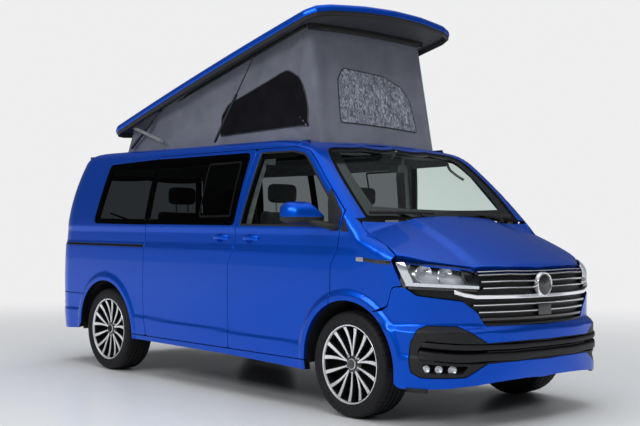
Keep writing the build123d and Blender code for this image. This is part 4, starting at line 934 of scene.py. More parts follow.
for word, side in SIDES:
    paint_panel(f"{word}_front_door.skin", on_side(door_outline()), f"{word}_front_door",
                f"{word}_front_door", holes=[on_side(door_window()), handle_hole("front_door")], side=side,
                back=0.055)

paint_panel("sliding_door.skin", on_side(slider_outline()), "root", "sliding_door", side=-1, back=0.055,
            holes=[handle_hole("sliding_door")])
band = [on_side(band_outline(BAND_FRONT, BAND_REAR))]
paint_panel("left_side_panel.skin", on_side(side_panel_outline(True)), "root", "left_side_panel",
            holes=band, back=0.055, spacing=0.016)
paint_panel("right_side_panel.skin", on_side(side_panel_outline(False)), "root", "right_side_panel",
            side=-1, back=0.055, spacing=0.016)


# ---- Wings, bonnet, windscreen frame ----
BONNET_SIDE = [(0.870, -1.578), (0.862, -1.700), (0.876, -1.830), (0.903, -1.945)]
BONNET_FRONT = [(0.783, -2.099), (0.541, -2.283), (0.300, -2.335), (0.0, -2.355)]


def bonnet_outline():
    """The bonnet in plan."""
    half = [(0.0, -1.637 - GAP), (0.450, -1.625 - GAP), (0.720, -1.603 - GAP, 0.05),
            (0.866 - GAP, -1.586, 0.02)]
    half += [(x - GAP, y) for x, y in BONNET_SIDE[1:3]] + [(0.901 - GAP, -1.950, 0.02)]
    half += [(x, y + GAP) for x, y in BONNET_FRONT]
    return rounded(both_halves(half), 0.06)


paint_panel("bonnet.skin", bonnet_outline(), "bonnet", "bonnet", place=OVER_BONNET, back=0.030)


def wing_outline():
    """A front wing, between the bonnet, the door, the wheel arch, the bumper and the headlight."""
    shut = [(x + GAP, y, 0.0) for x, y in BONNET_SIDE]
    top = [(*p, 0.05) for p in lay(OVER_BONNET, shut)]
    front = DOOR_FRONT_Y - GAP
    meet = math.degrees(math.acos((front - FRONT_AXLE_Y) / ARCH_EDGE_R))
    arch = lay(on_girth, on_side(arch_edge(FRONT_AXLE_Y, meet, 122, 24)))
    door = [(front, 0.985, 0.03), (front - 0.042, 1.060, 0.05), (front - 0.062, BELT_Z - 0.040, 0.05),
            (front - 0.078, 1.280, 0.01)]
    rear = [(*p, q[2]) for p, q in zip(lay(on_girth, on_side(door)), door)]
    nose = [(0.931, -1.928, 1.034, 0.01), (0.905, -2.006, 0.873, 0.01), (0.930, -1.936, 0.871, 0.03),
            (0.937, -1.904, 0.748, 0.03)]
    loop = [(*p, 0) for p in arch] + nose[::-1] + top[::-1] + rear[::-1]
    return rounded(WING.flat(loop))


for word, side in SIDES:
    paint_panel(f"{word}_wing.skin", wing_outline(), "root", f"{word}_wing", place=WING, side=side,
                depth=0.03, spacing=0.011)

SCREEN_HALF = [(0.0, -1.612, 1.303), (0.450, -1.600, 1.303), (0.785, -1.569, 1.304, 0.03),
               (0.655, -1.043, 1.800, 0.07), (0.330, -1.050, 1.819), (0.0, -1.052, 1.825)]
FRAME_SEAM_Y = -0.900


def frame_outline():
    """Both windscreen pillars and the header over the glass."""
    inner = [(p[0] + (0.012 if p[0] else 0), p[1] + 0.008, p[2] + 0.004, *p[3:]) for p in SCREEN_HALF[2:]]
    door = [(FRONT_AXLE_Y + 0.690, DOOR_TOP_Z + GAP, 0.12),
            (FRONT_AXLE_Y + 0.523, DOOR_TOP_Z - 0.036, 0.10),
            (FRONT_AXLE_Y + 0.423, DOOR_TOP_Z - 0.117, 0.02), (FRONT_AXLE_Y + 0.062, BELT_Z + 0.106, 0.006),
            (DOOR_FRONT_Y - GAP - 0.076, 1.284, 0.01)]
    edge = [(FRAME_SEAM_Y, GUTTER_Z - 0.001, 0), (FRAME_SEAM_Y, DOOR_TOP_Z + GAP, 0), *door]
    outer = [(*p, q[2]) for p, q in zip(lay(on_girth, on_side(edge)), edge)]
    header = [(*p, 0) for p in lay(OVER_ROOF, [(0.0, -0.992), (0.300, -0.990), (0.600, -0.975),
                                               (0.745, -0.930)])]
    half = header + outer + [(0.872, -1.574, 1.291, 0.01), (0.800, -1.572, 1.298, 0.01)] + inner
    return rounded(SCREEN_RAYS.flat(both_halves(half)), 0.03)


paint_panel("body_frame.front", frame_outline(), "root", "body_frame", place=SCREEN_RAYS, back=0.045)
RAIL = [(FRAME_SEAM_Y, DOOR_TOP_Z + GAP, 0), (SLIDER_SHUT_Y, DOOR_TOP_Z + GAP, 0),
        (tail_place(TAILGATE_TOP_HALF + 0.005), DOOR_TOP_Z + 0.036, 0.01),
        (tail_place(TAILGATE_TOP_HALF + 0.005), GUTTER_Z - 0.001, 0.01), (FRAME_SEAM_Y, GUTTER_Z - 0.001, 0)]
for word, side in SIDES:
    paint_panel(f"{word}_rail.skin", on_side(rounded(RAIL)), "root", side=side, back=0.045)


# ---- Roof and tail ----
ROOF_HALF = [(0.0, -0.988), (0.300, -0.986), (0.600, -0.970), (0.745, -0.926, 0.03), (0.790, -0.880, 0.06),
             (0.797, 0.50), (0.797, 1.80), (0.780, 2.10, 0.06), (0.700, 2.172, 0.05), (0.350, 2.190),
             (0.0, 2.196)]
HATCH = rounded([(-0.600, -0.860), (0.600, -0.860), (0.600, 1.600), (-0.600, 1.600)], 0.03)
paint_panel("roof_skin.skin", rounded(both_halves(ROOF_HALF), 0.05), "root", "roof_skin", holes=[HATCH],
            place=OVER_ROOF, back=0.040, spacing=0.03)

TAILGATE = [(0.0, 2.42, 0.634), (0.400, 2.42, 0.634), (TAILGATE_HALF, 2.37, 0.640, 0.02),
            (TAILGATE_HALF, 2.34, 1.140, 0.15), (TAILGATE_TOP_HALF, 2.20, 1.838, 0.04),
            (0.400, 2.22, 1.850), (0.0, 2.225, 1.852)]
REAR_PANE = [(0.0, 2.38, 1.222), (0.690, 2.34, 1.226, 0.07), (0.612, 2.24, 1.722, 0.07), (0.0, 2.27, 1.728)]
paint_panel("tailgate.skin", rounded(TAIL.flat(both_halves(TAILGATE)), 0.03), "tailgate", "tailgate",
            holes=[rounded(TAIL.flat(both_halves(REAR_PANE)), 0.05)], place=TAIL, back=0.050)


# ---- Bumpers ----
def bumper_level(p):
    """The body's surface with the rear bumper standing out of the tail."""
    return skin_level(p) - 0.011 * smooth_step(2.20, 2.36, p[:, 1])


def rear_bumper_outline():
    """The rear bumper, from one wheel arch round the tail to the other."""
    joint = math.degrees(math.asin((BUMPER_JOINT_Z - TYRE_R) / ARCH_EDGE_R))
    arch = [(*p, 0) for p in lay(on_girth, on_side(arch_edge(REAR_AXLE_Y, 4, joint, 16)))]
    top = [(*p, 0.02) for p in lay(on_girth, on_side([(2.10, BUMPER_JOINT_Z - 2 * GAP),
                                                      (2.36, BUMPER_JOINT_Z - 2 * GAP)]))]
    half = [(0.0, 2.44, 0.300), (0.600, 2.42, 0.300), (0.860, 2.34, 0.300, 0.10), (0.945, 2.15, 0.305, 0.05),
            (0.935, 1.905, 0.325, 0.03)]
    half += arch + top + [(0.822, 2.39, 0.628, 0.01), (0.400, 2.43, 0.626), (0.0, 2.44, 0.626)]
    return rounded(BUMPER_RAYS.flat(both_halves(half)), 0.03)


paint_panel("rear_bumper.skin", rear_bumper_outline(), "root", "rear_bumper", place=BUMPER_RAYS, depth=0.05,
            level=bumper_level)

BUMPER_TOP = [(0.944, -1.858, 0.712, 0.01), (0.935, -1.905, 0.742, 0.03), (0.928, -1.936, 0.864, 0.03),
              (0.897, -2.018, 0.862, 0.02), (0.863, -2.086, 0.815, 0.05), (0.653, -2.279, 0.783, 0.05),
              (0.560, -2.315, 0.715, 0.05), (0.502, -2.334, 0.630, 0.03), (0.0, -2.400, 0.624)]
BUMPER_HOLE = [(0.0, -2.43, 0.528), (0.520, -2.372, 0.527, 0.03), (0.640, -2.340, 0.597, 0.03),
               (0.687, -2.266, 0.632, 0.03), (0.825, -2.142, 0.636, 0.03), (0.876, -2.108, 0.614, 0.03),
               (0.908, -2.076, 0.529, 0.04), (0.918, -2.072, 0.421, 0.04), (0.910, -2.085, 0.345, 0.03),
               (0.880, -2.145, 0.317, 0.03), (0.678, -2.333, 0.318, 0.04), (0.520, -2.374, 0.401, 0.03),
               (0.0, -2.43, 0.400)]


def front_bumper_outline():
    """The front bumper, from one wheel arch round the nose to the other."""
    start = math.degrees(math.pi - math.asin((0.712 - TYRE_R) / ARCH_EDGE_R))
    arch = [(*p, 0) for p in lay(on_girth, on_side(arch_edge(FRONT_AXLE_Y, 178, start, 20)[:-1]))]
    low = [(0.0, -2.40, 0.286), (0.450, -2.388, 0.284), (0.690, -2.325, 0.262), (0.855, -2.18, 0.248, 0.10),
           (0.932, -2.01, 0.247, 0.03), (0.945, -1.972, 0.262, 0.02)]
    return rounded(NOSE.flat(both_halves(low + arch + BUMPER_TOP)), 0.04)


paint_panel("front_bumper.skin", front_bumper_outline(), "root", "front_bumper", place=NOSE, depth=0.05,
            holes=[rounded(NOSE.flat(both_halves(BUMPER_HOLE)), 0.03)], spacing=0.014)

# ---- Glass ----
def shrunk(outline, amount):
    """A closed outline set in by an amount."""
    loop = subdivide(list(outline), 0.02)
    if signed_area(loop) < 0:
        loop.reverse()
    return [tuple(p) for p in np.array(loop) + left_normals(loop) * amount]


def pane(name, outline, body, *nodes, rim, lift, place=on_girth, side=1, tinted=False):
    """A pane of glass with a black printed rim behind it."""
    material, slot = (PRIVACY, "glass_tint") if tinted else (CLEAR, "glass_clear")
    panel_piece(name, outline, (material,), body, slot, *nodes, side=side, place=place, spacing=0.03,
                hem=0.0015, depth=0.005, lift=lift)
    panel_piece(name + ".rim", outline, (GLOSS,), body, "black_plastic", side=side, place=place,
                holes=[shrunk(outline, rim)], hem=0.0005, depth=0.004, lift=lift - 0.0065)


for word, side in SIDES:
    body = f"{word}_front_door"
    pane(f"{word}_door_glass.pane", on_side(door_window(0.012)), body, f"{word}_door_glass", side=side,
         rim=0.022, lift=-0.007)
    panel_piece(f"{body}.seal", on_side(door_window(0.001)), (BLACK,), body, "black_plastic", side=side,
                holes=[on_side(door_window(-0.013))], lift=0.001, depth=0.012, spacing=0.03)

PANE_SPLIT = (0.848, 0.832)
SLIDER_PANE = band_outline(BAND_FRONT, PANE_SPLIT, 0.004, rear_r=0.004)
QUARTER_PANE = band_outline([y + 0.007 for y in PANE_SPLIT], BAND_REAR, 0.003, front_r=0.004)
vent = on_side(rounded([(-0.270, 1.300), (-0.296, 1.718), (0.120, 1.712), (0.128, 1.296)], 0.03))
for word, side in SIDES:
    nodes = ["side_glass"] if side < 0 else []
    pane(f"{word}_slider_glass", on_side(SLIDER_PANE), "root", *nodes, side=side, rim=0.040, lift=0.0015,
         tinted=True)
    pane(f"{word}_quarter_glass", on_side(QUARTER_PANE), "root", side=side, rim=0.045, lift=0.0015,
         tinted=True)
    panel_piece(f"{word}_vent_frame", vent, (SHADOW,), "root", "black_plastic", side=side,
                holes=[shrunk(vent, 0.016)], lift=0.004, hem=0.002, depth=0.004, spacing=0.03)

screen = rounded(SCREEN_RAYS.flat(both_halves(SCREEN_HALF)), 0.05)
pane("windscreen.pane", screen, "root", "windscreen", place=SCREEN_RAYS, rim=0.050, lift=-0.002)
rear_pane = shrunk(rounded(TAIL.flat(both_halves(REAR_PANE)), 0.05), 0.003)
pane("rear_window.pane", rear_pane, "tailgate", "rear_window", place=TAIL, rim=0.060, lift=0.0, tinted=True)

# The seal round the windscreen, and the cowl under it with the wipers
panel_piece("windscreen.seal", shrunk(screen, -0.011), (SHADOW,), "root", "black_plastic", place=SCREEN_RAYS,
            holes=[shrunk(screen, 0.004)], spacing=0.03, hem=0.002, depth=0.010, lift=-0.001)
COWL_HALF = [(0.0, -1.634), (0.450, -1.622), (0.720, -1.600), (0.860, -1.580, 0.01), (0.852, -1.562, 0.01),
             (0.790, -1.552, 0.01), (0.450, -1.583), (0.0, -1.597)]
panel_piece("cowl.panel", rounded(both_halves(COWL_HALF), 0.05), (BLACK,), "root", "black_plastic",
            place=OVER_BONNET, spacing=0.03, hem=0.004, depth=0.03, lift=-0.080)


def wiper(name, foot, tip, blade):
    """A wiper: its arm from a cap on the cowl and its blade lying on the glass."""
    on_glass = [SCREEN_RAYS(np.array([SCREEN_RAYS.flat([p])[0][:2]]), -0.016)[0] for p in blade]
    section = [(-0.006, -0.012), (0.006, -0.012), (0.009, 0.002), (0.003, 0.009), (-0.003, 0.009),
               (-0.009, 0.002)]
    knee = Vector(foot).lerp(Vector(tip), 0.35) + Vector((0, -0.010, 0.008))
    cap = lathe([(-0.01, 0.001), (-0.01, 0.020), (0.012, 0.018), (0.018, 0.008), (0.019, 0.001)], 20, "z")
    shapes_piece(name, [
        (sweep(bent(on_glass, 8), section),),
        (sweep(bent([foot, knee, tip], 8), oblong(0.009, -0.004, 0.006, 0.007)),),
        (cap, 0, foot),
    ], (BLACK,), "root", "black_plastic")


wiper("wiper_right", (-0.250, -1.616, 1.300), (-0.480, -1.560, 1.340),
      [(-0.740, -1.545, 1.333), (-0.480, -1.560, 1.336), (-0.180, -1.575, 1.336)])
wiper("wiper_left", (0.560, -1.600, 1.290), (0.300, -1.560, 1.340),
      [(0.060, -1.568, 1.337), (0.300, -1.562, 1.337), (0.680, -1.545, 1.331)])

# ---- Lamps and grille ----
HEADLIGHT = [(0.919, -1.938, 1.028, 0.012), (0.861, -2.052, 1.018), (0.730, -2.170, 1.004),
             (0.572, -2.282, 0.985, 0.015), (0.556, -2.317, 0.919, 0.05), (0.514, -2.331, 0.856, 0.015),
             (0.654, -2.279, 0.862), (0.797, -2.172, 0.869), (0.897, -2.018, 0.872, 0.015)]
GRILLE_HALF = [(0.0, -2.362, 0.984), (0.300, -2.340, 0.983), (0.568, -2.286, 0.981, 0.01),
               (0.552, -2.318, 0.917, 0.05), (0.508, -2.332, 0.852, 0.02), (0.654, -2.279, 0.858),
               (0.797, -2.172, 0.865), (0.893, -2.022, 0.867, 0.01), (0.892, -2.028, 0.860, 0.01),
               (0.860, -2.090, 0.819, 0.05), (0.651, -2.281, 0.787, 0.05), (0.557, -2.317, 0.715, 0.05),
               (0.499, -2.336, 0.633, 0.03), (0.0, -2.402, 0.627)]


def nose_panel(corners, radius, hem, depth, lift, spacing=0.03, **more):
    """A rounded panel on the nose, from its corners in space, as one panel of a piece."""
    return rounded(NOSE.flat(corners), radius), dict(place=NOSE, spacing=spacing, hem=hem, depth=depth,
                                                     lift=lift, **more)


def nose_bar(path, half_height, lift, depth, hem=0.003):
    """A bar along a path across the nose, rounded at its edges, as one panel of a piece."""
    ends = [np.array(p[:2]) for p in NOSE.flat(path)]
    offset = (0, half_height * NOSE.scale / 0.93)
    outline = [tuple(p + offset) for p in ends] + [tuple(p - offset) for p in reversed(ends)]
    return outline, dict(place=NOSE, spacing=0.03, hem=hem, depth=depth, lift=lift)


def across(half):
    """A path across the nose from its left half, from the middle outwards."""
    return [(-p[0], *p[1:]) for p in reversed(half) if p[0]] + list(half)


def grille_row(z, x):
    """The path of a bar of the grille at height z, out to x."""
    return across([(0.0, -2.380, z), (0.300, -2.350, z), (x, -2.318, z)])


UPPER_ROWS = ((0.946, 0.552), (0.902, 0.530), (0.861, 0.512))
LOWER_ROWS = ((0.758, 0.592), (0.714, 0.548), (0.670, 0.520))
UNDER_LAMP = [(0.560, -2.31, 0.848), (0.680, -2.26, 0.853), (0.800, -2.165, 0.858), (0.885, -2.035, 0.860)]
panels_piece("grille.base", [nose_panel(both_halves(GRILLE_HALF), 0.03, 0.004, 0.02, -0.030)], (BLACK,),
             "root", "grille", "grille")
slats = [nose_bar(grille_row(z, x), 0.0075, -0.004, 0.020) for z, x in UPPER_ROWS]
slats += [nose_bar(across([(0.0, -2.390, z), (0.300, -2.360, z), (x, -2.315, z)]), 0.0085, -0.004, 0.020)
          for z, x in LOWER_ROWS]
slats.append(nose_bar(across([(0.0, -2.40, 0.636), (0.300, -2.37, 0.636), (0.498, -2.33, 0.638)]), 0.006,
                      0.001, 0.024))
slats.append(nose_bar(UNDER_LAMP, 0.006, 0.0, 0.028))
slats.append(nose_bar([(-x, y, z) for x, y, z in reversed(UNDER_LAMP)], 0.006, 0.0, 0.028))
panels_piece("grille.slats", slats, (GLOSS,), "root", "grille")
BRIGHT_BAR = [(0.0, -2.395, 0.806), (0.300, -2.370, 0.806), (0.560, -2.312, 0.809), (0.640, -2.280, 0.822),
              (0.700, -2.250, 0.842)]
bright = [nose_bar(across(BRIGHT_BAR), 0.0115, 0.004, 0.030, 0.005)]
bright += [nose_bar(grille_row(z, x - 0.004), 0.0022, -0.0005, 0.008, 0.001)
           for z, x in ((0.969, 0.560), *UPPER_ROWS, *LOWER_ROWS[:2])]
panels_piece("grille.bright", bright, (CHROME,), "root", "grille")
SENSOR = [(-0.058, -2.40, 0.682), (0.076, -2.40, 0.682), (0.076, -2.40, 0.756), (-0.058, -2.40, 0.756)]
panels_piece("sensor_plate", [nose_panel(SENSOR, 0.008, 0.004, 0.02, 0.004)], (GLOSS,), "root", "grille")
BADGE = (0.0, -2.404, 0.878)
badge_ring = [(0.0, 0.066), (-0.007, 0.067), (-0.010, 0.072), (-0.007, 0.077), (0.006, 0.079), (0.020, 0.079)]
badge_disc = [(0.0, 0.0665), (-0.003, 0.050), (-0.005, 0.001)]
shapes_piece("badge_place", [(lathe(badge_ring, 64, "y"), 0, BADGE), (lathe(badge_disc, 64, "y"), 1, BADGE)],
             (CHROME, GLOSS), "root", "grille")


def bowl(radius, depth):
    """A reflector: a chrome bowl with its bulb's glass, facing the nose."""
    profile = [(0.0, radius), (0.004, radius * 1.04), (0.010, radius)]
    profile += [(depth * (1 - t * t) + 0.004, radius * t * 0.97) for t in (0.95, 0.8, 0.6, 0.4, 0.2, 0.05)]
    return lathe(profile, 32, "y")


LAMP_INNER = [(0.655, -2.279, 0.990), (0.556, -2.317, 0.975), (0.520, -2.331, 0.858), (0.610, -2.279, 0.864)]
LAMP_BAR = [(0.545, -2.322, 0.868), (0.654, -2.279, 0.874), (0.797, -2.172, 0.881), (0.893, -2.020, 0.884)]
LAMP_SIDE = [(0.912, -1.950, 1.018), (0.893, -2.020, 0.884), (0.848, -2.058, 0.882), (0.866, -1.990, 1.014)]
lens, settings = nose_panel(HEADLIGHT, 0.04, 0.003, 0.030, 0.0, 0.02, slots=(0, 1, 1))
housing = (shrunk(lens, 0.001), dict(place=NOSE, spacing=0.03, hem=0.002, depth=0.01, lift=-0.075))
for word, side in SIDES:
    name = f"{word}_headlight"
    panels_piece(f"{name}.lens", [(lens, settings)], (LENS, GLOSS), "root", "lamp",
                 *(["headlights"] if side > 0 else []), side=side)
    panels_piece(f"{name}.housing",
                 [housing, nose_panel(LAMP_INNER, 0.006, 0.002, 0.04, -0.022, slots=(1, 1, 1))],
                 (LAMP_SILVER, GLOSS), "root", "lamp", side=side)
    panels_piece(f"{name}.trim", [nose_bar(LAMP_BAR, 0.0095, -0.004, 0.03, 0.002),
                                  nose_panel(LAMP_SIDE, 0.006, 0.002, 0.03, -0.004, 0.02)],
                 (CHROME,), "root", "lamp", side=side)
    lamps = []
    for x, y, z, r, degrees in ((0.792, -2.082, 0.946, 0.058, 18), (0.682, -2.160, 0.938, 0.055, 10)):
        turn = Matrix.Rotation(math.radians(degrees), 3, "Z")
        bulb = lathe([(-0.004, 0.001), (-0.001, 0.012), (0.030, 0.014)], 16, "y")
        lamps += [(bowl(r, 0.045), 0, (x, y, z), turn), (bulb, 1, (x, y + 0.004, z), turn)]
    shapes_piece(f"{name}.reflectors", lamps, (CHROME, LENS), "root", "lamp", side=side)

# ---- Lower intake and fog lamps ----
SLOT = [(0.0, -2.43, 0.516), (0.540, -2.37, 0.520), (0.845, -2.150, 0.545, 0.02),
        (0.892, -2.110, 0.470, 0.02), (0.800, -2.20, 0.425, 0.02), (0.520, -2.37, 0.405), (0.0, -2.43, 0.401)]
FOG = [(0.882, -2.150, 0.400), (0.870, -2.160, 0.345), (0.690, -2.320, 0.342), (0.655, -2.345, 0.385)]
BLADES = (
    ([(0.0, -2.425, 0.497), (0.300, -2.405, 0.498), (0.560, -2.362, 0.502), (0.700, -2.275, 0.512),
      (0.862, -2.130, 0.524)], 0.0125),
    ([(0.0, -2.425, 0.437), (0.300, -2.405, 0.438), (0.560, -2.362, 0.441), (0.700, -2.275, 0.447),
      (0.874, -2.120, 0.462)], 0.0190),
)
slot_hole = rounded(NOSE.flat(both_halves(SLOT)), 0.01)
fog_holes = [rounded(NOSE.flat([(x * side, y, z) for x, y, z in FOG]), 0.016) for _, side in SIDES]
surround = shrunk(rounded(NOSE.flat(both_halves(BUMPER_HOLE)), 0.03), 0.001)
panel_piece("intake.surround", surround, (BLACK,), "root", "black_plastic", holes=[slot_hole, *fog_holes],
            place=NOSE, hem=0.004, depth=0.05, lift=-0.005)
# Near-black sheets deep behind the slot and the fog lamp openings: painted shade in the recesses.
panels_piece("intake.back", [
    (shrunk(hole, -0.004), dict(place=NOSE, spacing=0.03, hem=0.001, depth=0.004, lift=low))
    for hole, low in ((slot_hole, -0.052), (fog_holes[0], -0.046), (fog_holes[1], -0.046))
], (SHADOW,), "root", "black_plastic")
blades = [nose_bar(across(points), half, 0.006, 0.055, 0.008) for points, half in BLADES]
blades.append(nose_bar(across([(0.0, -2.425, 0.467), (0.300, -2.405, 0.468), (0.520, -2.37, 0.471)]), 0.004,
                       -0.012, 0.03))
panels_piece("intake.blades", blades, (BLACK,), "root", "black_plastic")
DAM_PATH = [(0.915, -2.065, 0.250), (0.893, -2.120, 0.248), (0.855, -2.175, 0.248)]
DAM_SECTION = [(-0.016, -0.020), (0.008, -0.020), (0.012, 0.006), (-0.016, 0.006)]
wing_strip = [(-1.704, 1.018), (-1.925, 1.001), (-1.930, 1.026), (-1.704, 1.041)]
wing_strip = rounded(WING.flat(lay(on_girth, on_side(wing_strip))), 0.004)
wing_plate = rounded(on_side([(-1.638, 1.018), (-1.700, 1.015), (-1.700, 1.043), (-1.638, 1.044)]), 0.004)
for word, side in SIDES:
    lamps = []
    for x, y, z, r in ((0.846, -2.148, 0.371, 0.024), (0.792, -2.203, 0.370, 0.024),
                       (0.728, -2.258, 0.366, 0.027)):
        turn = Matrix.Rotation(math.radians(38), 3, "Z")
        cover = lathe([(-0.002, 0.001), (0.0, r * 0.9), (0.004, r * 0.97)], 24, "y")
        lamps += [(bowl(r, 0.014), 0, (x + 0.006, y - 0.013, z), turn),
                  (cover, 1, (x + 0.006, y - 0.014, z), turn)]
    shapes_piece(f"{word}_fog_lamps", lamps, (LAMP_SILVER, LENS), "root", "lamp", side=side)
for word, side in SIDES:
    shapes_piece(f"{word}_air_dam", [(sweep(DAM_PATH, DAM_SECTION),)], (BLACK,), "root", "black_plastic",
                 side=side, bevel=0.003)
    panel_piece(f"{word}_wing_strip", wing_strip, (GLOSS,), "root", "black_plastic", side=side, place=WING,
                hem=0.002, depth=0.006, lift=0.003)
    panel_piece(f"{word}_wing_plate", wing_plate, (SATIN,), "root", "steel", side=side, hem=0.0015,
                depth=0.005, lift=0.0045)


# ---- Sills, arches, rail, handles ----
def liner(axle_y, inner):
    """The black shell inside a wheel arch, in to x = inner, with its inner wall."""
    points, faces = [], []
    count, r = 40, ARCH_R - 0.006
    for k in range(count + 1):
        a = math.radians(-4 + 188 * k / count)
        y, z = axle_y + r * math.cos(a), TYRE_R + r * math.sin(a)
        points += [(0.932, y, z), (inner, y, z), (inner, axle_y, TYRE_R)]
    for k in range(count):
        a, b = 3 * k, 3 * k + 3
        faces += [(a, b, b + 1, a + 1), (a + 1, b + 1, b + 2)]
    return points, faces


LINER_INNER = {"front": 0.470, "rear": 0.640}
sill = rounded([(FRONT_AXLE_Y + 0.416, SILL_TOP_Z - GAP), (REAR_AXLE_Y - 0.416, SILL_TOP_Z - GAP),
                (REAR_AXLE_Y - 0.414, 0.300), (DOOR_SHUT_Y, 0.292), (FRONT_AXLE_Y + 0.412, 0.270)], 0.008)
for word, side in SIDES:
    for end, axle_y in AXLES:
        shapes_piece(f"{word}_{end}_liner", [(liner(axle_y, LINER_INNER[end]),)], (UNDERSEAL,), "root",
                     "underbody", side=side)
    paint_panel(f"{word}_sill", on_side(sill), "root", side=side, depth=0.05)
groove = on_side(rounded([(SLIDER_SHUT_Y + 0.006, 1.055), (2.120, 1.055), (2.120, 1.077),
                          (SLIDER_SHUT_Y + 0.006, 1.077)], 0.006))
# The rail: a black frame, and inside it a near-black strip that is painted shade in the groove.
panels_piece("slider_rail", [
    (groove, dict(holes=[shrunk(groove, 0.006)], lift=0.002, hem=0.002, depth=0.006)),
    (groove, dict(lift=0.0008, hem=0.0008, depth=0.004, slots=(1, 1, 1))),
], (BLACK, SHADOW), "root", "black_plastic", side=-1)


def door_handle(name, which, body, side):
    """A pull handle over a round cup in the panel."""
    y, r = HANDLE_Y[which], HANDLE_R
    x = float(on_girth(np.array([on_side([(y, HANDLE_Z)])[0]]))[0, 0])
    cup, cup_faces = lathe([(0.0, r), (-0.004, r * 0.98), (-0.012, r * 0.88), (-0.019, r * 0.62),
                            (-0.022, 0.001)], 32)
    grip = [(-0.002, -0.098, 0.004), (0.014, -0.070, 0.006), (0.022, -0.02, 0.008), (0.018, 0.045, 0.008),
            (0.001, 0.070, 0.006)]
    grip = bent([(x + a, y + b, HANDLE_Z + c) for a, b, c in grip], 8)
    section = [(-0.007, -0.013), (0.004, -0.016), (0.008, 0.0), (0.004, 0.016), (-0.007, 0.013)]
    shapes_piece(name, [
        (([(p[0], p[1], p[2] * 0.88) for p in cup], cup_faces), 0, (x, y, HANDLE_Z)), (sweep(grip, section),),
    ], (PAINT,), body, "body_paint", side=side, angle=50)


for word, side in SIDES:
    door_handle(f"{word}_door_handle", "front_door", f"{word}_front_door", side)
door_handle("slider_handle", "sliding_door", "root", -1)


# ---- Mirrors ----
def mirror_shape():
    """The mirror's housing, painted above and black below, and its glass."""
    points, faces, slots = [], [], []
    rings, count = 28, 36
    low_edge, high_edge = [], []
    for i in range(rings + 1):
        t = i / rings
        end = math.sqrt(max(0.0, 1 - abs(2 * t - 1) ** 5))
        rise = (0.018 + 0.084 * float(smooth_step(0.0, 0.46, t))) * (0.12 + 0.88 * end)
        drop = 0.060 * (0.15 + 0.85 * end) - 0.016 * t
        depth = 0.130 * (0.15 + 0.85 * end) * (0.70 + 0.30 * t)
        x, z0 = 0.943 + 0.235 * t, 1.302 - 0.004 * t
        y0 = -1.278 + 0.135 * t
        for k in range(count):
            a = 2 * math.pi * k / count
            c, n = math.cos(a), math.sin(a)
            y = y0 - depth * math.copysign(abs(c) ** 0.72, c) if c > 0 else y0 + 0.028 * end * abs(c) ** 0.4
            z = z0 + (rise if n > 0 else drop) * math.copysign(abs(n) ** 0.80, n)
            points.append((x, y, z))
        high_edge.append((x, y0 + 0.030, z0 + rise * 0.84))
        low_edge.append((x, y0 + 0.030, z0 - drop * 0.72))
    for i in range(rings):
        faces += quads(i * count, (i + 1) * count, count)
        slots += [0 if k < count // 2 and not count * 0.30 < k < count * 0.70 else 1 for k in range(count)]
    faces += [tuple(reversed(range(count))), tuple(range(rings * count, (rings + 1) * count))]
    slots += [1, 0]
    start = len(points)
    glass_rim = low_edge[3:-2] + high_edge[3:-2][::-1]
    points += glass_rim
    faces.append(tuple(range(start, start + len(glass_rim))))
    slots.append(2)
    return points, faces, slots


MIRROR_GLASS = plain("mirror_glass", (0.72, 0.75, 0.78), 0.03, metallic=1.0, strength=0.0, shade=0.02)
MIRROR_ARM = [(0.928, -1.440, 1.234), (0.968, -1.415, 1.238), (1.000, -1.360, 1.254), (1.035, -1.290, 1.272)]
points, faces, slots = mirror_shape()
sail = rounded([(-1.448, 1.208), (-1.474, 1.334), (-1.322, 1.500), (-1.322, 1.400), (-1.372, 1.208)], 0.010)
sail_tip = rounded([(-1.484, 1.206), (-1.548, 1.204), (-1.505, 1.292), (-1.492, 1.292)], 0.004)
for word, side in SIDES:
    body = f"{word}_front_door"
    shapes_piece(f"{word}_mirror.head", [((points, faces), slots)], (PAINT, BLACK, MIRROR_GLASS), body,
                 "body_paint", f"{word}_mirror", side=side, angle=50)
    shapes_piece(f"{word}_mirror.arm", [(sweep(bent(MIRROR_ARM, 6), circle(0.030, 16, 0.72)),)], (BLACK,),
                 body, "black_plastic", side=side, angle=60)
    panel_piece(f"{word}_mirror.sail", on_side(sail), (BLACK,), body, "black_plastic", side=side, lift=0.006,
                hem=0.004, depth=0.016)
    panel_piece(f"{word}_sail_tip", on_side(sail_tip), (BLACK,), "root", "black_plastic", side=side,
                lift=0.005, depth=0.010)

# ---- Tail lamps and reflectors ----
tail, gap = tail_place(TAILGATE_HALF + 0.006), 0.003
tail_lens = on_side(rounded([
    (tail - 0.001, TAIL_LAMP_Z[0] + gap, 0.012), (tail - 0.109, TAIL_LAMP_Z[0] + gap, 0.020),
    (tail - 0.120, TAIL_LAMP_Z[1] - gap, 0.030), (tail - 0.005, TAIL_LAMP_Z[2] - gap * 2, 0.010)]))
lamp_bars = []
for z0, z1 in ((0.905, 0.950), (1.020, 1.030), (1.065, 1.075)):
    bar = rounded([(tail - 0.100, z0), (tail - 0.014, z0), (tail - 0.014, z1), (tail - 0.100, z1)], 0.005)
    lamp_bars.append((on_side(bar), dict(spacing=0.015, hem=0.0008, depth=0.003, lift=0.0052)))
reflector = [(0.905, 2.27, 0.545), (0.700, 2.41, 0.545), (0.700, 2.41, 0.510), (0.905, 2.27, 0.510)]
reflector = rounded(BUMPER_RAYS.flat(reflector), 0.010)
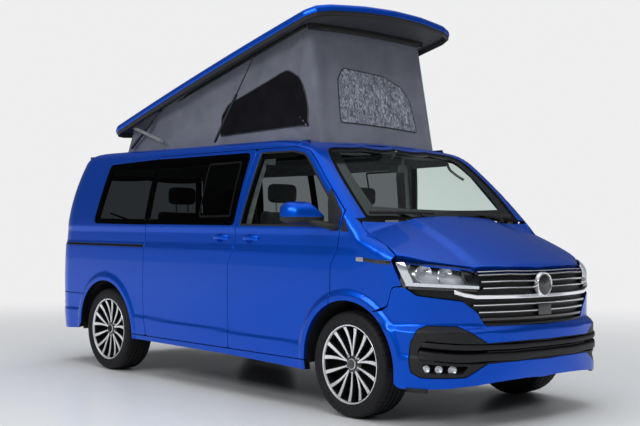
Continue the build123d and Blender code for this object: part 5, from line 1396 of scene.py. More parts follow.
for word, side in SIDES:
    panel_piece(f"{word}_tail_lamp.lens", tail_lens, (RED_LENS,), "root", "tail_lamp",
                *(["tail_lights"] if side > 0 else []), side=side, spacing=0.015, hem=0.004, depth=0.03,
                lift=0.004)
    panels_piece(f"{word}_tail_lamp.bars", lamp_bars, (LENS_WHITE,), "root", "tail_lamp", side=side)
    panel_piece(f"{word}_reflector", reflector, (RED_LENS,), "root", "tail_lamp", side=side,
                place=BUMPER_RAYS, hem=0.002, depth=0.006, lift=0.004, level=bumper_level)


def tail_band(half_width, z0, z1, radius, **settings):
    """A band across the tailgate from z0 to z1, as one panel of a piece."""
    half = [(x, 2.42, z) for x, z in ((0.0, z0), (half_width, z0), (half_width, z1), (0.0, z1))]
    return rounded(TAIL.flat(both_halves(half)), radius), dict(place=TAIL, spacing=0.03, **settings)


panels_piece("number_plate", [
    tail_band(0.265, 0.780, 0.895, 0.008, hem=0.002, depth=0.006, lift=0.005),
    tail_band(0.300, 0.915, 0.955, 0.010, hem=0.006, depth=0.02, lift=0.016, slots=(1, 1, 1)),
], (PLATE, PAINT), "tailgate", "body_paint")
step = [(0.0, 2.43, 0.618), (0.600, 2.42, 0.618), (0.600, 2.43, 0.598), (0.0, 2.44, 0.598)]
step = rounded(BUMPER_RAYS.flat(both_halves(step)), 0.004)
panel_piece("bumper_step", step, (BLACK,), "root", "black_plastic", place=BUMPER_RAYS, spacing=0.03,
            depth=0.02, lift=0.004, level=bumper_level)
REAR_WIPER_ARM = [(0.0, 2.408, 1.205), (-0.120, 2.400, 1.262), (-0.200, 2.392, 1.300)]
REAR_WIPER_BLADE = [(-0.040, 2.394, 1.252), (-0.200, 2.388, 1.300), (-0.360, 2.374, 1.345)]
shapes_piece("rear_wiper", [
    (lathe([(0.0, 0.022), (0.014, 0.020), (0.020, 0.001)], 20, "y"), 0, (0.0, 2.392, 1.200)),
    (sweep(REAR_WIPER_ARM, oblong(0.006, -0.008, 0.008, 0.005)),),
    (sweep(REAR_WIPER_BLADE, oblong(0.004, -0.010, 0.006, 0.006)),),
], (BLACK,), "tailgate", "black_plastic")


# ---- Wheels ----
def tyre_shape():
    """A tyre with a grooved tread cut across into blocks, about the X axis."""
    half = [(0.112, 0.252, 0), (0.114, 0.262, 0), (0.119, 0.272, 0), (0.1235, 0.288, 0), (0.125, 0.300, 0),
            (0.1235, 0.312, 0), (0.119, 0.324, 0), (0.114, 0.3325, 1), (0.106, 0.3385, 1), (0.096, 0.3425, 1),
            (0.078, 0.3445, 1), (0.066, 0.3450, 2), (0.065, 0.338, 2), (0.055, 0.338, 2), (0.054, 0.3455, 2),
            (0.026, 0.3460, 2), (0.025, 0.338, 2), (0.013, 0.338, 2), (0.012, 0.3460, 2)]
    profile = half + [(-x, r, tag) for x, r, tag in reversed(half)]
    steps, count = 240, len(profile)
    points, faces = [], []
    for k in range(steps):
        a = 2 * math.pi * k / steps
        for x, r, tag in profile:
            cut = (tag == 1 and k % 5 == 0) or (tag == 2 and (k + (2 if x > 0 else 0)) % 5 == 2 and r > 0.34)
            r -= 0.0045 if cut else 0.0
            points.append((x, r * math.cos(a), r * math.sin(a)))
    for k in range(steps):
        here, after = k * count, (k + 1) % steps * count
        faces += [(here + n, after + n, after + n + 1, here + n + 1) for n in range(count - 1)]
    return points, faces


def spoke(angle_in, angle_out, width_out):
    """A wheel's spoke from the hub to the barrel: its silver face and its black body."""
    shapes = []
    for slot, grow, front, back in ((0, 0.0, 0.0, 0.004), (1, 0.0045, -0.0035, 0.034)):
        points, faces, steps = [], [], 7
        for k in range(steps + 1):
            t = k / steps
            r = 0.052 + 0.190 * t
            a = angle_in + (angle_out - angle_in) * (t ** 0.85)
            w = 0.0035 + (width_out - 0.0035) * t ** 1.2 + grow
            x = 0.898 + 0.004 * t + 0.020 * t ** 3
            for side, depth in ((1, front), (1, -back), (-1, -back), (-1, front)):
                b = a + side * w / r
                points.append((x + depth, r * math.cos(b), r * math.sin(b)))
        for k in range(steps):
            faces += quads(4 * k, 4 * k + 4, 4)
        faces += [(3, 2, 1, 0), tuple(range(4 * steps, 4 * steps + 4))]
        shapes.append((slot, (points, faces)))
    return shapes


def wheel_shape():
    """A rim with its hub, spokes and bolts, about the X axis: 0 silver, 1 black, 2 steel, 3 shadow."""
    barrel = [(0.712, 0.254), (0.706, 0.262), (0.712, 0.266), (0.726, 0.252), (0.760, 0.244), (0.860, 0.240),
              (0.895, 0.243), (0.912, 0.246)]
    lip = [(0.912, 0.2455), (0.921, 0.2465), (0.9265, 0.250), (0.928, 0.2555), (0.924, 0.260), (0.916, 0.261)]
    hub = [(0.866, 0.074), (0.884, 0.070), (0.896, 0.058), (0.901, 0.044), (0.901, 0.036)]
    made = Parts()
    made.add(lathe(barrel, 96), 1)
    made.add(lathe(lip, 96), 0)
    # A near-black disc behind the spokes: painted shade in the wheel's depth.
    made.add(lathe([(0.858, 0.240), (0.858, 0.060), (0.870, 0.050)], 48), 3)
    for k in range(5):
        middle = 90 + 72 * k
        for start, end in ((middle - 1.5, middle - 12), (middle + 1.5, middle + 12),
                           (middle + 36, middle + 36)):
            for slot, shape in spoke(math.radians(start), math.radians(end), 0.0125):
                made.add(shape, slot)
    made.add(lathe(hub, 48), 1)
    made.add(lathe([(0.900, 0.036), (0.905, 0.035), (0.906, 0.031), (0.9035, 0.030)], 48), 0)
    made.add(lathe([(0.9035, 0.030), (0.906, 0.018), (0.9065, 0.001)], 32), 1)
    bolt = lathe([(0.0, 0.0115), (0.006, 0.0115), (0.007, 0.008), (0.003, 0.0075), (0.003, 0.001)], 6)
    for k in range(5):
        a = math.radians(54 + 72 * k)
        made.add(bolt, 2, (0.893, 0.054 * math.cos(a), 0.054 * math.sin(a)))
    return (made.points, made.faces), made.slots


TYRE_RUBBER = plain("tyre_rubber", (0.008, 0.008, 0.009), 0.62, grain=500, strength=0.25, shine=0.22)
SPOKE_FACE = plain("machined_alloy", (0.84, 0.85, 0.86), 0.24, metallic=0.65, grain=900, strength=0.05,
                   shade=0.04)
WHEEL_BLACK = plain("wheel_black", (0.010, 0.010, 0.011), 0.22, strength=0.0, coat=0.5)
wheel_form, wheel_slots = wheel_shape()
tyre_form = tyre_shape()
for word, side in SIDES:
    for end, axle_y in AXLES:
        corner, centre = f"{word}_{end}", (0, axle_y, TYRE_R)
        shapes_piece(f"{corner}_tyre.tread", [(tyre_form, 0, (WHEEL_X, axle_y, TYRE_R))], (TYRE_RUBBER,),
                     f"{corner}_wheel", "tyre", f"{corner}_tyre", side=side, angle=30)
        shapes_piece(f"{corner}_rim.alloy", [(wheel_form, wheel_slots, centre)],
                     (SPOKE_FACE, WHEEL_BLACK, SATIN, SHADOW), f"{corner}_wheel", "rim", f"{corner}_rim",
                     side=side, angle=30)

# ---- Pop roof ----
TILT = math.radians(13.5)
TIP_UP, TIP_SHUT = (1.503, 2.101), (1.5271, 1.961)


def raised(x, y, z):
    """A place on the shut roof, where it is with the roof up."""
    dy, dz, c, s = y - TIP_SHUT[0], z - TIP_SHUT[1], math.cos(TILT), math.sin(TILT)
    return Vector((x, TIP_UP[0] + dy * c + dz * s, TIP_UP[1] - dy * s + dz * c))


def pop_top(x, y):
    """The shut pop roof's top."""
    edge = 2.073 - 0.01947 * (y + 0.49) - 0.01006 * (y + 0.49) * (y - 0.64)
    return edge + 0.026 * (1 - (x / 0.745) ** 2)


POP_HALF = [(0.0, -1.128), (0.300, -1.114), (0.595, -1.070, 0.05), (0.708, -1.022, 0.05),
            (0.745, -0.920, 0.08), (0.745, 1.662, 0.05), (0.713, 1.740, 0.03), (0.635, 1.772, 0.03),
            (0.0, 1.772)]
POP_RINGS = [(0.040, 0.0, 0), (0.024, 0.002, 0), (0.011, 0.008, 0), (0.003, 0.018, 0), (0.0, 0.030, 0),
             (0.001, 0.048, 0), (0.003, 0.0565, 0), (0.007, 0.0580, 0), (0.009, 0.0640, 1),
             (0.014, 0.0840, 1), (0.020, 0.0880, 1), (0.028, 0.0870, 1), (0.032, 0.0520, 2)]
pop_plan = rounded(both_halves(POP_HALF), 0.05)
rings = []
for inset, drop, _ in POP_RINGS:
    rings.append([raised(x, y, pop_top(x, y) - drop) for x, y in shrunk(pop_plan, inset)])
count = len(rings[0])
faces = []
for low in range(0, (len(rings) - 1) * count, count):
    faces += [(low + n, low + count + n, low + count + (n + 1) % count,
               low + (n + 1) % count) for n in range(count)]
slots = [slot for _, _, slot in POP_RINGS[1:] for _ in range(count)]
shell = [(([p for ring in rings for p in ring], faces), slots)]
for inset, drop, slot in (POP_RINGS[0], POP_RINGS[-1]):
    flat, faces = fill([shrunk(pop_plan, inset)], 0.05)
    facing = 1 if slot == 0 else -1
    shell.append((([raised(x, y, pop_top(x, y) - drop) for x, y in flat],
                   [tuple(f)[::facing] for f in faces]), slot))
UNDER = plain("roof_under", (0.035, 0.036, 0.040), 0.75, grain=350, strength=0.3)
shapes_piece("pop_roof.shell", shell, (PAINT, BLACK, UNDER), "pop_roof", "body_paint", "pop_roof", angle=50)
# Black bars under the roof: a header across the front, and two side bars that are painted shade along the
# tent's top edges.
SHADE_BAR_Y = np.linspace(-0.780, 1.550, 9)
for name, path, tall in (("header", [(x, -0.806) for x in np.linspace(-0.600, 0.600, 9)], 0.044),
                         ("left_shade_bar", [(0.612, y) for y in SHADE_BAR_Y], 0.024),
                         ("right_shade_bar", [(-0.612, y) for y in SHADE_BAR_Y], 0.024)):
    line = [raised(x, y, pop_top(x, y) - 0.052 - tall / 2) for x, y in path]
    shapes_piece(f"pop_roof.{name}", [(sweep(line, oblong(0.009, -tall / 2, tall / 2)),)], (BLACK,),
                 "pop_roof", "black_plastic", bevel=0.003)


# ---- Tent ----
FOOT_CORNERS = [(-0.595, -0.905), (0.595, -0.905), (0.640, 1.645), (-0.640, 1.645)]
HEAD_CORNERS = [(-0.585, -0.790), (0.585, -0.790), (0.640, 1.557), (-0.640, 1.557)]
TENT_R = 0.035
TENT_OUT = (Vector((0, -1, 0)), Vector((1, 0, 0)), Vector((0, 1, 0)), Vector((-1, 0, 0)))


def tent_corner(corners, k, share):
    """A place on one rounded corner of the tent: share 0 where it begins, 1 where it ends."""
    here, before, after = (Vector(corners[(k + d) % 4]) for d in (0, -1, 1))
    start, end = here + (before - here).normalized() * TENT_R, here + (after - here).normalized() * TENT_R
    return start * (1 - share) ** 2 + here * 2 * share * (1 - share) + end * share ** 2


def tent_edge(corners, k, share):
    """A place on one side of the tent, between its rounded corners."""
    return tent_corner(corners, k, 1.0).lerp(tent_corner(corners, (k + 1) % 4, 0.0), share)


FOOT_SHARES = np.linspace(-0.2, 1.2, 57)
FOOT_HEIGHTS = []
for k in range(4):
    feet = np.array([tuple(tent_edge(FOOT_CORNERS, k, float(share))) for share in FOOT_SHARES])
    FOOT_HEIGHTS.append(OVER_ROOF(feet)[:, 2])


def tent_folds(k, share, up):
    """How far the cloth stands out: it sags between its edges, and is drawn into folds from its corners."""
    ends = math.sin(math.pi * min(max(up, 0.0), 1.0))
    out = -0.020 * ends * math.sin(math.pi * share) ** 0.5
    if k in (1, 3):
        along = share if k == 1 else 1 - share
        for corner_up, reach, turns in ((0.0, 0.20, 15.0), (1.0, 0.30, 11.0)):
            dy, dz = along * 2.5 + 0.03, abs(up - corner_up) * 0.8 * (1 - 0.6 * along) + 0.02
            turn = math.atan2(dz, dy)
            far = math.hypot(dy, dz)
            out += 0.012 * math.sin(turn * turns) * math.exp(-(far / (reach * 2.2)) ** 2) * ends ** 0.5
        out += 0.0075 * ends * math.sin(9.0 * along * 2.5 - 5.0 * up) * (0.4 + 0.6 * along)
        out += 0.004 * ends * noise3((along * 5.0, up * 2.0, k * 3.1))
    else:
        side = abs(share - 0.5) * 2
        out += 0.009 * math.sin(34 * share + 2.0 * up) * ends ** 0.5 * smooth_step(0.45, 0.95, side)
        out += 0.004 * ends * noise3((share * 3.0, up * 2.5, 7.7))
    return float(out)


def tent_place(k, share, up, lift=0.0, corner=None):
    """A place on the tent's cloth: on side k, or on the corner before it."""
    if corner is None:
        foot, head = tent_edge(FOOT_CORNERS, k, share), tent_edge(HEAD_CORNERS, k, share)
    else:
        foot, head = tent_corner(FOOT_CORNERS, k, corner), tent_corner(HEAD_CORNERS, k, corner)
    height = np.interp(share if corner is None else 0.0, FOOT_SHARES, FOOT_HEIGHTS[k])
    low = Vector((foot.x, foot.y, float(height) - 0.004))
    high = raised(head.x, head.y, pop_top(head.x, head.y) - 0.0535)
    if corner is not None:
        return low.lerp(high, up) + TENT_OUT[k - 1].lerp(TENT_OUT[k], corner).normalized() * lift
    return low.lerp(high, up) + TENT_OUT[k] * (tent_folds(k, share, up) + lift)


rows, columns = 30, []
for k, steps in enumerate((44, 90, 36, 90)):
    columns += [(k, 0.0, n / 5) for n in range(5)]
    columns += [(k, n / steps, None) for n in range(steps)]
points, faces = [], []
for k, share, corner in columns:
    points += [tent_place(k, share, n / rows, corner=corner) for n in range(rows + 1)]
for a in range(len(columns)):
    b = (a + 1) % len(columns)
    faces += [(a * (rows + 1) + n, b * (rows + 1) + n, b * (rows + 1) + n + 1,
               a * (rows + 1) + n + 1) for n in range(rows)]
TENT_CLOTH = cloth("tent_cloth", (0.088, 0.095, 0.122), (0.112, 0.119, 0.148), threads=1400, strength=0.25,
                   sheen=0.1)
MESH_CLOTH = cloth("tent_mesh", (0.004, 0.004, 0.005), (0.007, 0.007, 0.009), threads=2600, strength=0.4,
                   roughness=0.9, sheen=0.0, shine=0.05)
PIPING = plain("tent_piping", (0.012, 0.013, 0.016), 0.45)
tent = from_faces("tent.cloth", points, faces, (TENT_CLOTH,), angle=70)
finished(tent, "root", "tent", "tent")


def tent_spot(k, wanted):
    """The share and height on the tent's side k of a place given as (across, z)."""
    axis = 0 if k in (0, 2) else 1
    share, up = 0.5, 0.5
    for _ in range(30):
        p = tent_place(k, share, up)
        q, r = tent_place(k, share + 1e-3, up), tent_place(k, share, up + 1e-3)
        j = Matrix((((q[axis] - p[axis]) / 1e-3, (r[axis] - p[axis]) / 1e-3),
                    ((q.z - p.z) / 1e-3, (r.z - p.z) / 1e-3)))
        step = j.inverted() @ Vector((wanted[0] - p[axis], wanted[1] - p.z))
        share, up = share + 0.8 * step.x, up + 0.8 * step.y
    return share, up


def tent_window(name, k, corners, material, crinkle=0.0):
    """A window sewn on the tent's side k, with piping round it."""
    wide, tall = 2.5 if k in (1, 3) else 1.15, 0.8
    spots = [(*tent_spot(k, c[:2]), *c[2:]) for c in corners]
    outline = subdivide(rounded([(u * wide, v * tall, *r) for u, v, *r in spots], 0.02), 0.02)
    flat, faces = fill([outline], 0.014 if crinkle else 0.03)
    points = []
    for n, (u, v) in enumerate(flat):
        wrinkle = 0.0
        if crinkle and n >= len(outline):
            fan = math.atan2(v - outline[0][1] + 0.3, u - 1.3 * wide)
            wrinkle = crinkle * (noise3((u * 38, v * 30, 1.0)) + 0.8 * math.sin(fan * 60) * 0.5
                                 + 0.6 * noise3((u * 90, v * 70, 4.0)))
        points.append(tent_place(k, u / wide, v / tall, 0.0022 + wrinkle + crinkle))
    facing = (points[faces[0][1]] - points[faces[0][0]]).cross(points[faces[0][2]] - points[faces[0][0]])
    turn = 1 if facing.dot(TENT_OUT[k]) > 0 else -1
    patch = shapes_piece(name, [((points, [tuple(f)[::turn] for f in faces]),)], (material,), "root", "tent",
                         angle=60)
    cord = sweep([tent_place(k, u / wide, v / tall, 0.003) for u, v in outline], circle(0.0042, 8),
                 closed=True)
    return [patch, shapes_piece(name + ".piping", [(cord,)], (PIPING,), "root", "tent", angle=70)]


SIDE_WINDOW = [(0.295, 1.948), (0.285, 2.110, 0.08), (0.200, 2.205, 0.10), (-0.402, 2.375, 0.10),
               (-0.518, 2.400, 0.12), (-0.700, 2.270, 0.20), (-0.762, 1.966)]
FRONT_WINDOW = [(-0.376, 2.002), (-0.348, 2.330, 0.05), (-0.285, 2.415, 0.05), (0.140, 2.392, 0.20),
                (0.310, 2.325, 0.15), (0.400, 2.215, 0.15), (0.424, 1.974)]
windows = tent_window("tent.left_mesh", 1, SIDE_WINDOW, MESH_CLOTH)
windows += tent_window("tent.right_mesh", 3, SIDE_WINDOW, MESH_CLOTH)


def crinkled_vinyl_painted_glints():
    """Clear vinyl that was folded, made as an opaque sheet: its colour runs from dark to light along fine
    creases, the light streaks being painted glints; a bump follows the same creases.
    """
    material, tree, shader = nodes_of("tent_vinyl")
    set_inputs(shader, {"Roughness": 0.18, "Coat Weight": 0.5})
    where = tree.nodes.new("ShaderNodeTexCoord")
    stretch = tree.nodes.new("ShaderNodeMapping")
    set_inputs(stretch, {"Scale": (1.0, 1.0, 0.45), "Rotation": (0.0, 0.35, 0.0)})
    crease_and_glint = tree.nodes.new("ShaderNodeTexNoise")
    set_inputs(crease_and_glint, {"Scale": 46.0, "Detail": 7.0, "Distortion": 1.6})
    # Painted glints: the ramp lightens the colour along the creases.
    ramp = tree.nodes.new("ShaderNodeValToRGB")
    low, high = ramp.color_ramp.elements
    low.position, low.color = 0.42, (0.075, 0.080, 0.105, 1)
    high.position, high.color = 0.70, (0.36, 0.38, 0.43, 1)
    ramp.color_ramp.elements.new(0.54).color = (0.17, 0.18, 0.22, 1)
    wire(tree, (where.outputs["Object"], stretch.inputs["Vector"]),
         (stretch.outputs["Vector"], crease_and_glint.inputs["Vector"]), (crease_and_glint.outputs["Fac"], ramp.inputs["Fac"]),
         (ramp.outputs["Color"], shader.inputs["Base Color"]))
    add_bump(tree, shader, crease_and_glint.outputs["Fac"], 0.6, 0.004)
    return material


VINYL = crinkled_vinyl_painted_glints()
windows += tent_window("tent.vinyl", 0, FRONT_WINDOW, VINYL, crinkle=0.0030)
for piece in (tent, *windows):
    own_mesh(piece)


# ---- CAD pieces that show as they are ----
DARK_STEEL = plain("steel_dark", (0.018, 0.018, 0.020), 0.38, metallic=0.5, grain=600, strength=0.1)
for material, names in (
    (CAST, ("engine", "left_knuckle", "right_knuckle")),
    (UNDERSEAL, ("front_subframe", "rear_axle")),
    (SATIN, ("exhaust", "roof_levers")),
    (DARK_STEEL, ("strut_tubes", "rear_strut_tubes", "strut_rods", "rear_strut_rods")),
    (TRIM, ("pillar_posts",)),
):
    for name in names:
        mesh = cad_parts[name].data
        mesh.materials.clear()
        mesh.materials.append(material)


# ---- Cabin ----
def puffed(obj, cap, voxel=0.012):
    """Blows a pad up like stuffed cloth, each point moving no further than the cap."""
    remesh = obj.modifiers.new("remesh", "REMESH")
    remesh.mode, remesh.voxel_size = "VOXEL", voxel
    apply_modifiers(obj)
    before = [v.co.copy() for v in obj.data.vertices]
    press = obj.modifiers.new("cloth", "CLOTH")
    press.settings.use_pressure = True
    press.settings.uniform_pressure_force = 4
    press.settings.effector_weights.gravity = 0
    scene = bpy.context.scene
    for frame_number in range(1, 21):
        scene.frame_set(frame_number)
    seen = obj.evaluated_get(bpy.context.evaluated_depsgraph_get())
    after = [v.co.copy() for v in seen.data.vertices]
    obj.modifiers.remove(press)
    for vertex, old, new in zip(obj.data.vertices, before, after):
        step = new - old
        vertex.co = old + step * min(1.0, cap / max(step.length, 1e-9))
    finer = obj.modifiers.new("finer", "SUBSURF")
    finer.levels = 1
    apply_modifiers(obj)
    scene.frame_set(1)
    return obj


def block(name, low, high, radius, materials, shape=None, cuts=14):
    """A closed block with rounded edges; shape(point, across, along, up), from -1 to 1, moves its points."""
    made = bmesh.new()
    bmesh.ops.create_cube(made, size=2.0)
    bmesh.ops.subdivide_edges(made, edges=made.edges[:], cuts=cuts, use_grid_fill=True)
    middle, half = (Vector(low) + Vector(high)) / 2, (Vector(high) - Vector(low)) / 2
    radius = min(radius, *(h * 0.98 for h in half))
    for vertex in made.verts:
        share = [math.sin(c * math.pi / 2) for c in vertex.co]
        p = Vector([h * c for h, c in zip(half, share)])
        core = Vector([min(max(c, radius - h), h - radius) for c, h in zip(p, half)])
        p = core + (p - core).normalized() * radius if (p - core).length > 1e-9 else p
        p += middle
        vertex.co = shape(p, *share) if shape else p
    mesh = bpy.data.meshes.new(name)
    made.to_mesh(mesh)
    made.free()
    obj = bpy.data.objects.new(name, mesh)
    bpy.context.scene.collection.objects.link(obj)
    for material in materials:
        mesh.materials.append(material)
    mesh.polygons.foreach_set("use_smooth", [True] * len(mesh.polygons))
    return obj


def stitched(obj, lines, depth=0.007, width=0.009):
    """Presses seams into a pad: each line is (axis, place, other axis, low, high)."""
    mesh = obj.data
    pushed = []
    for vertex in mesh.vertices:
        push = 0.0
        for axis, place, other, low, high in lines:
            if low <= vertex.co[other] <= high:
                push = max(push, math.exp(-((vertex.co[axis] - place) / width) ** 2))
        pushed.append(vertex.co - vertex.normal * depth * push)
    for vertex, p in zip(mesh.vertices, pushed):
        vertex.co = p
    mesh.polygons.foreach_set("use_smooth", [True] * len(mesh.polygons))


SEAT_CLOTH = cloth("seat_cloth", (0.030, 0.031, 0.034), (0.045, 0.046, 0.050), threads=1100, strength=0.5)
SEAT_SIDE = cloth("seat_side", (0.014, 0.014, 0.015), (0.020, 0.020, 0.022), threads=700, strength=0.3)


def seat(name, x, y, width, bolster, heads, replaced=()):
    """A seat or bench: its padded cushion and back, its headrests and its base."""
    half = width / 2

    def cushion_form(p, across, along, up):
        if up > 0:
            edge = float(smooth_step(0.62, 0.9, abs(across)))
            p.z += 0.030 * bolster * edge - 0.010 * (1 - abs(across) ** 2) * bolster
            p.z += 0.020 * float(smooth_step(0.3, 1.0, -along))
        return p

    def back_form(p, across, along, up):
        p.y += (p.z - 0.80) * 0.10
        p.x = x + (p.x - x) * (1 - 0.10 * bolster * float(smooth_step(0.2, 1.0, up)))
        if along < 0:
            p.y -= 0.028 * bolster * float(smooth_step(0.60, 0.9, abs(across)))
            p.y -= 0.012 * float(smooth_step(-1.0, -0.2, up)) * float(1 - smooth_step(-0.2, 0.5, up))
        return p

    sides = (-1, 1) if bolster else (-0.5, 0.5)
    cushion = block(f"{name}.cushion", (x - half + 0.012, y + 0.012, 0.705),
                    (x + half - 0.012, y + 0.488, 0.832), 0.045, (SEAT_CLOTH,), cushion_form)
    back = block(f"{name}.back", (x - half + 0.012, y + 0.425, 0.800), (x + half - 0.012, y + 0.520, 1.365),
                 0.040, (SEAT_CLOTH,), back_form)
    pads = [
        (cushion, [(0, x + s * half * 0.66, 2, 0.80, 1.0) for s in sides] + [(1, y + 0.30, 2, 0.80, 1.0)]),
        (back, [(0, x + s * half * 0.62, 2, 0.86, 1.30) for s in sides]
         + [(2, 1.18, 0, x - half * 0.62, x + half * 0.62)]),
    ]
    for n, head in enumerate(heads):
        pads.append((block(f"{name}.head_{n}", (head - 0.130, y + 0.490, 1.415),
                           (head + 0.130, y + 0.575, 1.560), 0.038, (SEAT_CLOTH,)), []))
        posts = [(sweep([(head + s * 0.06, y + 0.528, 1.350), (head + s * 0.06, y + 0.532, 1.440)],
                        circle(0.006, 10)),)
                 for s in (-1, 1)]
        shapes_piece(f"{name}.posts_{n}", posts, (SATIN,), "root", "steel")
    for pad, lines in pads:
        puffed(pad, 0.020)
        if lines:
            stitched(pad, lines)
        finished(pad, "root", "seat", *replaced)
        replaced = ()
    base = block(f"{name}.base", (x - half + 0.030, y + 0.040, 0.481), (x + half - 0.030, y + 0.470, 0.706),
                 0.020, (SEAT_SIDE,), cuts=8)
    finished(base, "root", "black_plastic")


seat("driver_seat", 0.430, -0.800, 0.500, 1.0, (0.430,), ("front_seats",))
seat("passenger_seat", -0.430, -0.800, 0.500, 1.0, (-0.430,))
seat("bench", -0.160, 0.520, 1.110, 0.0, (-0.450, 0.130), ("rear_bench",))

DASH = plain("dash_soft", (0.030, 0.031, 0.033), 0.70, grain=500, strength=0.4)
section = [(-1.385, 1.190), (-1.330, 1.240), (-1.240, 1.258), (-1.120, 1.252), (-1.050, 1.232),
           (-1.022, 1.200), (-1.020, 1.150), (-1.045, 1.130), (-1.040, 1.050), (-1.085, 0.960),
           (-1.150, 0.925), (-1.385, 0.960)]
dash_x = [-0.790, -0.780, -0.700, 0.0, 0.700, 0.780, 0.790]
dash_points = [(x, y + (0.05 if abs(x) > 0.77 else 0.0) * (1 if y < -1.2 else -1),
                z - 0.03 * (x / 0.79) ** 4) for x in dash_x for y, z in section]
size = len(section)
dash_faces = [f for a in range(len(dash_x) - 1) for f in quads(a * size, (a + 1) * size, size)]
dash_faces += [tuple(range(size))[::-1], tuple(range((len(dash_x) - 1) * size, len(dash_x) * size))]
dash = from_faces("dashboard.body", dash_points, dash_faces, (DASH,), angle=45, bevel=0.008)
finished(dash, "root", "dash", "dashboard")


def hood(p, across, along, up):
    """Slopes the binnacle's top down to its sides."""
    p.z -= 0.022 * abs(across) ** 2.2
    return p


binnacle = block("dashboard.binnacle", (0.270, -1.200, 1.225), (0.590, -1.010, 1.272), 0.020, (DASH,), hood)
finished(binnacle, "root", "dash")
screens = []
for x0, x1, z0, z1 in ((-0.140, 0.140, 1.062, 1.128), (0.300, 0.560, 1.140, 1.205),
                       (-0.130, 0.130, 1.145, 1.215)):
    screens.append((box_faces((x0, -1.030, z0), (x1, -1.012, z1)), 0))
for x in (-0.700, -0.230, 0.205, 0.690):
    for n in range(4):
        z = 1.150 + 0.015 * n
        screens.append((box_faces((x - 0.045, -1.028, z), (x + 0.045, -1.012, 1.156 + 0.015 * n)), 1))
shapes_piece("dashboard.screens", screens, (GLOSS, SATIN), "root", "dash", bevel=0.002)


def steering_wheel():
    """The steering wheel lying across the Y axis: its rim, three spokes and hub."""
    made = Parts()
    ring = [(x, 0.0, z) for x, z in circle(0.190, 64)]
    made.add(sweep(ring, circle(0.0150, 14), closed=True))
    for degrees, wide in ((180, 0.022), (0, 0.022), (270, 0.030)):
        a = math.radians(degrees)
        path = [(r * math.cos(a), 0.020 * (1 - (r / 0.19)), r * math.sin(a)) for r in (0.040, 0.090, 0.140,
                                                                                       0.186)]
        made.add(sweep(path, oblong(wide, -0.006, 0.006, wide * 0.8), up=(0, 1, 0)), 1)
    hub = [(0.040, 0.060), (0.010, 0.066), (-0.006, 0.060), (-0.012, 0.040), (-0.013, 0.001)]
    made.add(lathe(hub[::-1], 40, "y"), 0)
    made.add(lathe([(0.150, 0.020), (0.040, 0.024)], 20, "y"), 1)
    return (made.points, made.faces), made.slots


rim, rim_slots = steering_wheel()
tilt = Matrix.Rotation(math.radians(30), 3, "X") @ Matrix.Rotation(math.pi, 3, "Z")
shapes_piece("steering_wheel.rim", [(rim, rim_slots, (0.430, -0.883, 1.105), tilt)], (DASH, GLOSS),
             "steering_wheel", "dash", "steering_wheel", angle=50)

mirror = block("cabin_mirror", (-0.110, -1.020, 1.700), (0.110, -0.990, 1.765), 0.014, (BLACK,), cuts=6)
finished(mirror, "root", "black_plastic")
GRAB_HANDLE = [(0.700, -1.120, 1.610), (0.665, -1.085, 1.640), (0.650, -1.020, 1.690), (0.672, -0.975, 1.735)]
handles = [(sweep([(0.0, -1.010, 1.745), (0.0, -1.045, 1.775), (0.0, -1.066, 1.800)], circle(0.008, 10)),)]
for side in (-1, 1):
    handles.append((sweep(bent([(side * x, y, z) for x, y, z in GRAB_HANDLE], 6), circle(0.010, 10)),))
shapes_piece("cabin_handles", handles, (TRIM,), "root", "black_plastic")
for word, side in SIDES:
    visor = block(f"{word}_visor", (side * 0.375 - 0.200, -0.985, 1.765),
                  (side * 0.375 + 0.200, -0.830, 1.782), 0.008, (TRIM,), cuts=6)
    finished(visor, "root", "black_plastic")

CABINET = plain("cabinet_board", (0.50, 0.49, 0.47), 0.55, grain=120, strength=0.1)
WORKTOP = plain("worktop", (0.12, 0.11, 0.10), 0.35, grain=200, strength=0.15)
unit = [(box_faces((0.552, -0.018, 0.482), (0.880, 2.080, 1.172)), 0),
        (box_faces((0.534, -0.022, 1.174), (0.886, 2.084, 1.199)), 1)]
knob = lathe([(0.0, 0.001), (0.0, 0.012), (0.004, 0.014), (0.012, 0.014)], 20)
for n in range(5):
    y0, tall = -0.012 + n * 0.418, n % 2 == 1
    unit.append((box_faces((0.538, y0, 0.520), (0.551, y0 + 0.410, 1.160 if tall else 0.960)), 2))
    if not tall:
        unit.append((box_faces((0.538, y0, 0.966), (0.551, y0 + 0.410, 1.160)), 2))
    unit.append((knob, 3, (0.526, y0 + 0.205, 1.120 if tall else 0.930)))
shapes_piece("kitchen_unit.cabinet", unit, (CABINET, WORKTOP, LINER, SATIN), "root", "cabinet",
             "kitchen_unit", bevel=0.002)
FLOORING = plain("floor_vinyl", (0.10, 0.10, 0.11), 0.5, grain=160, strength=0.3)
shapes_piece("cabin_floor", [
    (box_faces((-0.850, -1.120, 0.4805), (0.850, 2.200, 0.486)),),
    (box_faces((-0.460, -1.300, 0.4805), (0.460, -1.120, 0.486)),),
], (FLOORING,), "root", "black_plastic", bevel=0.002)


# ---- Underbody ----
RAIL_PATH = [(0.390, -2.200, 0.420), (0.390, -1.900, 0.400), (0.390, -1.150, 0.390), (0.470, -0.950, 0.390),
             (0.470, 0.950, 0.390), (0.450, 1.200, 0.520), (0.450, 1.800, 0.520), (0.450, 2.240, 0.430)]


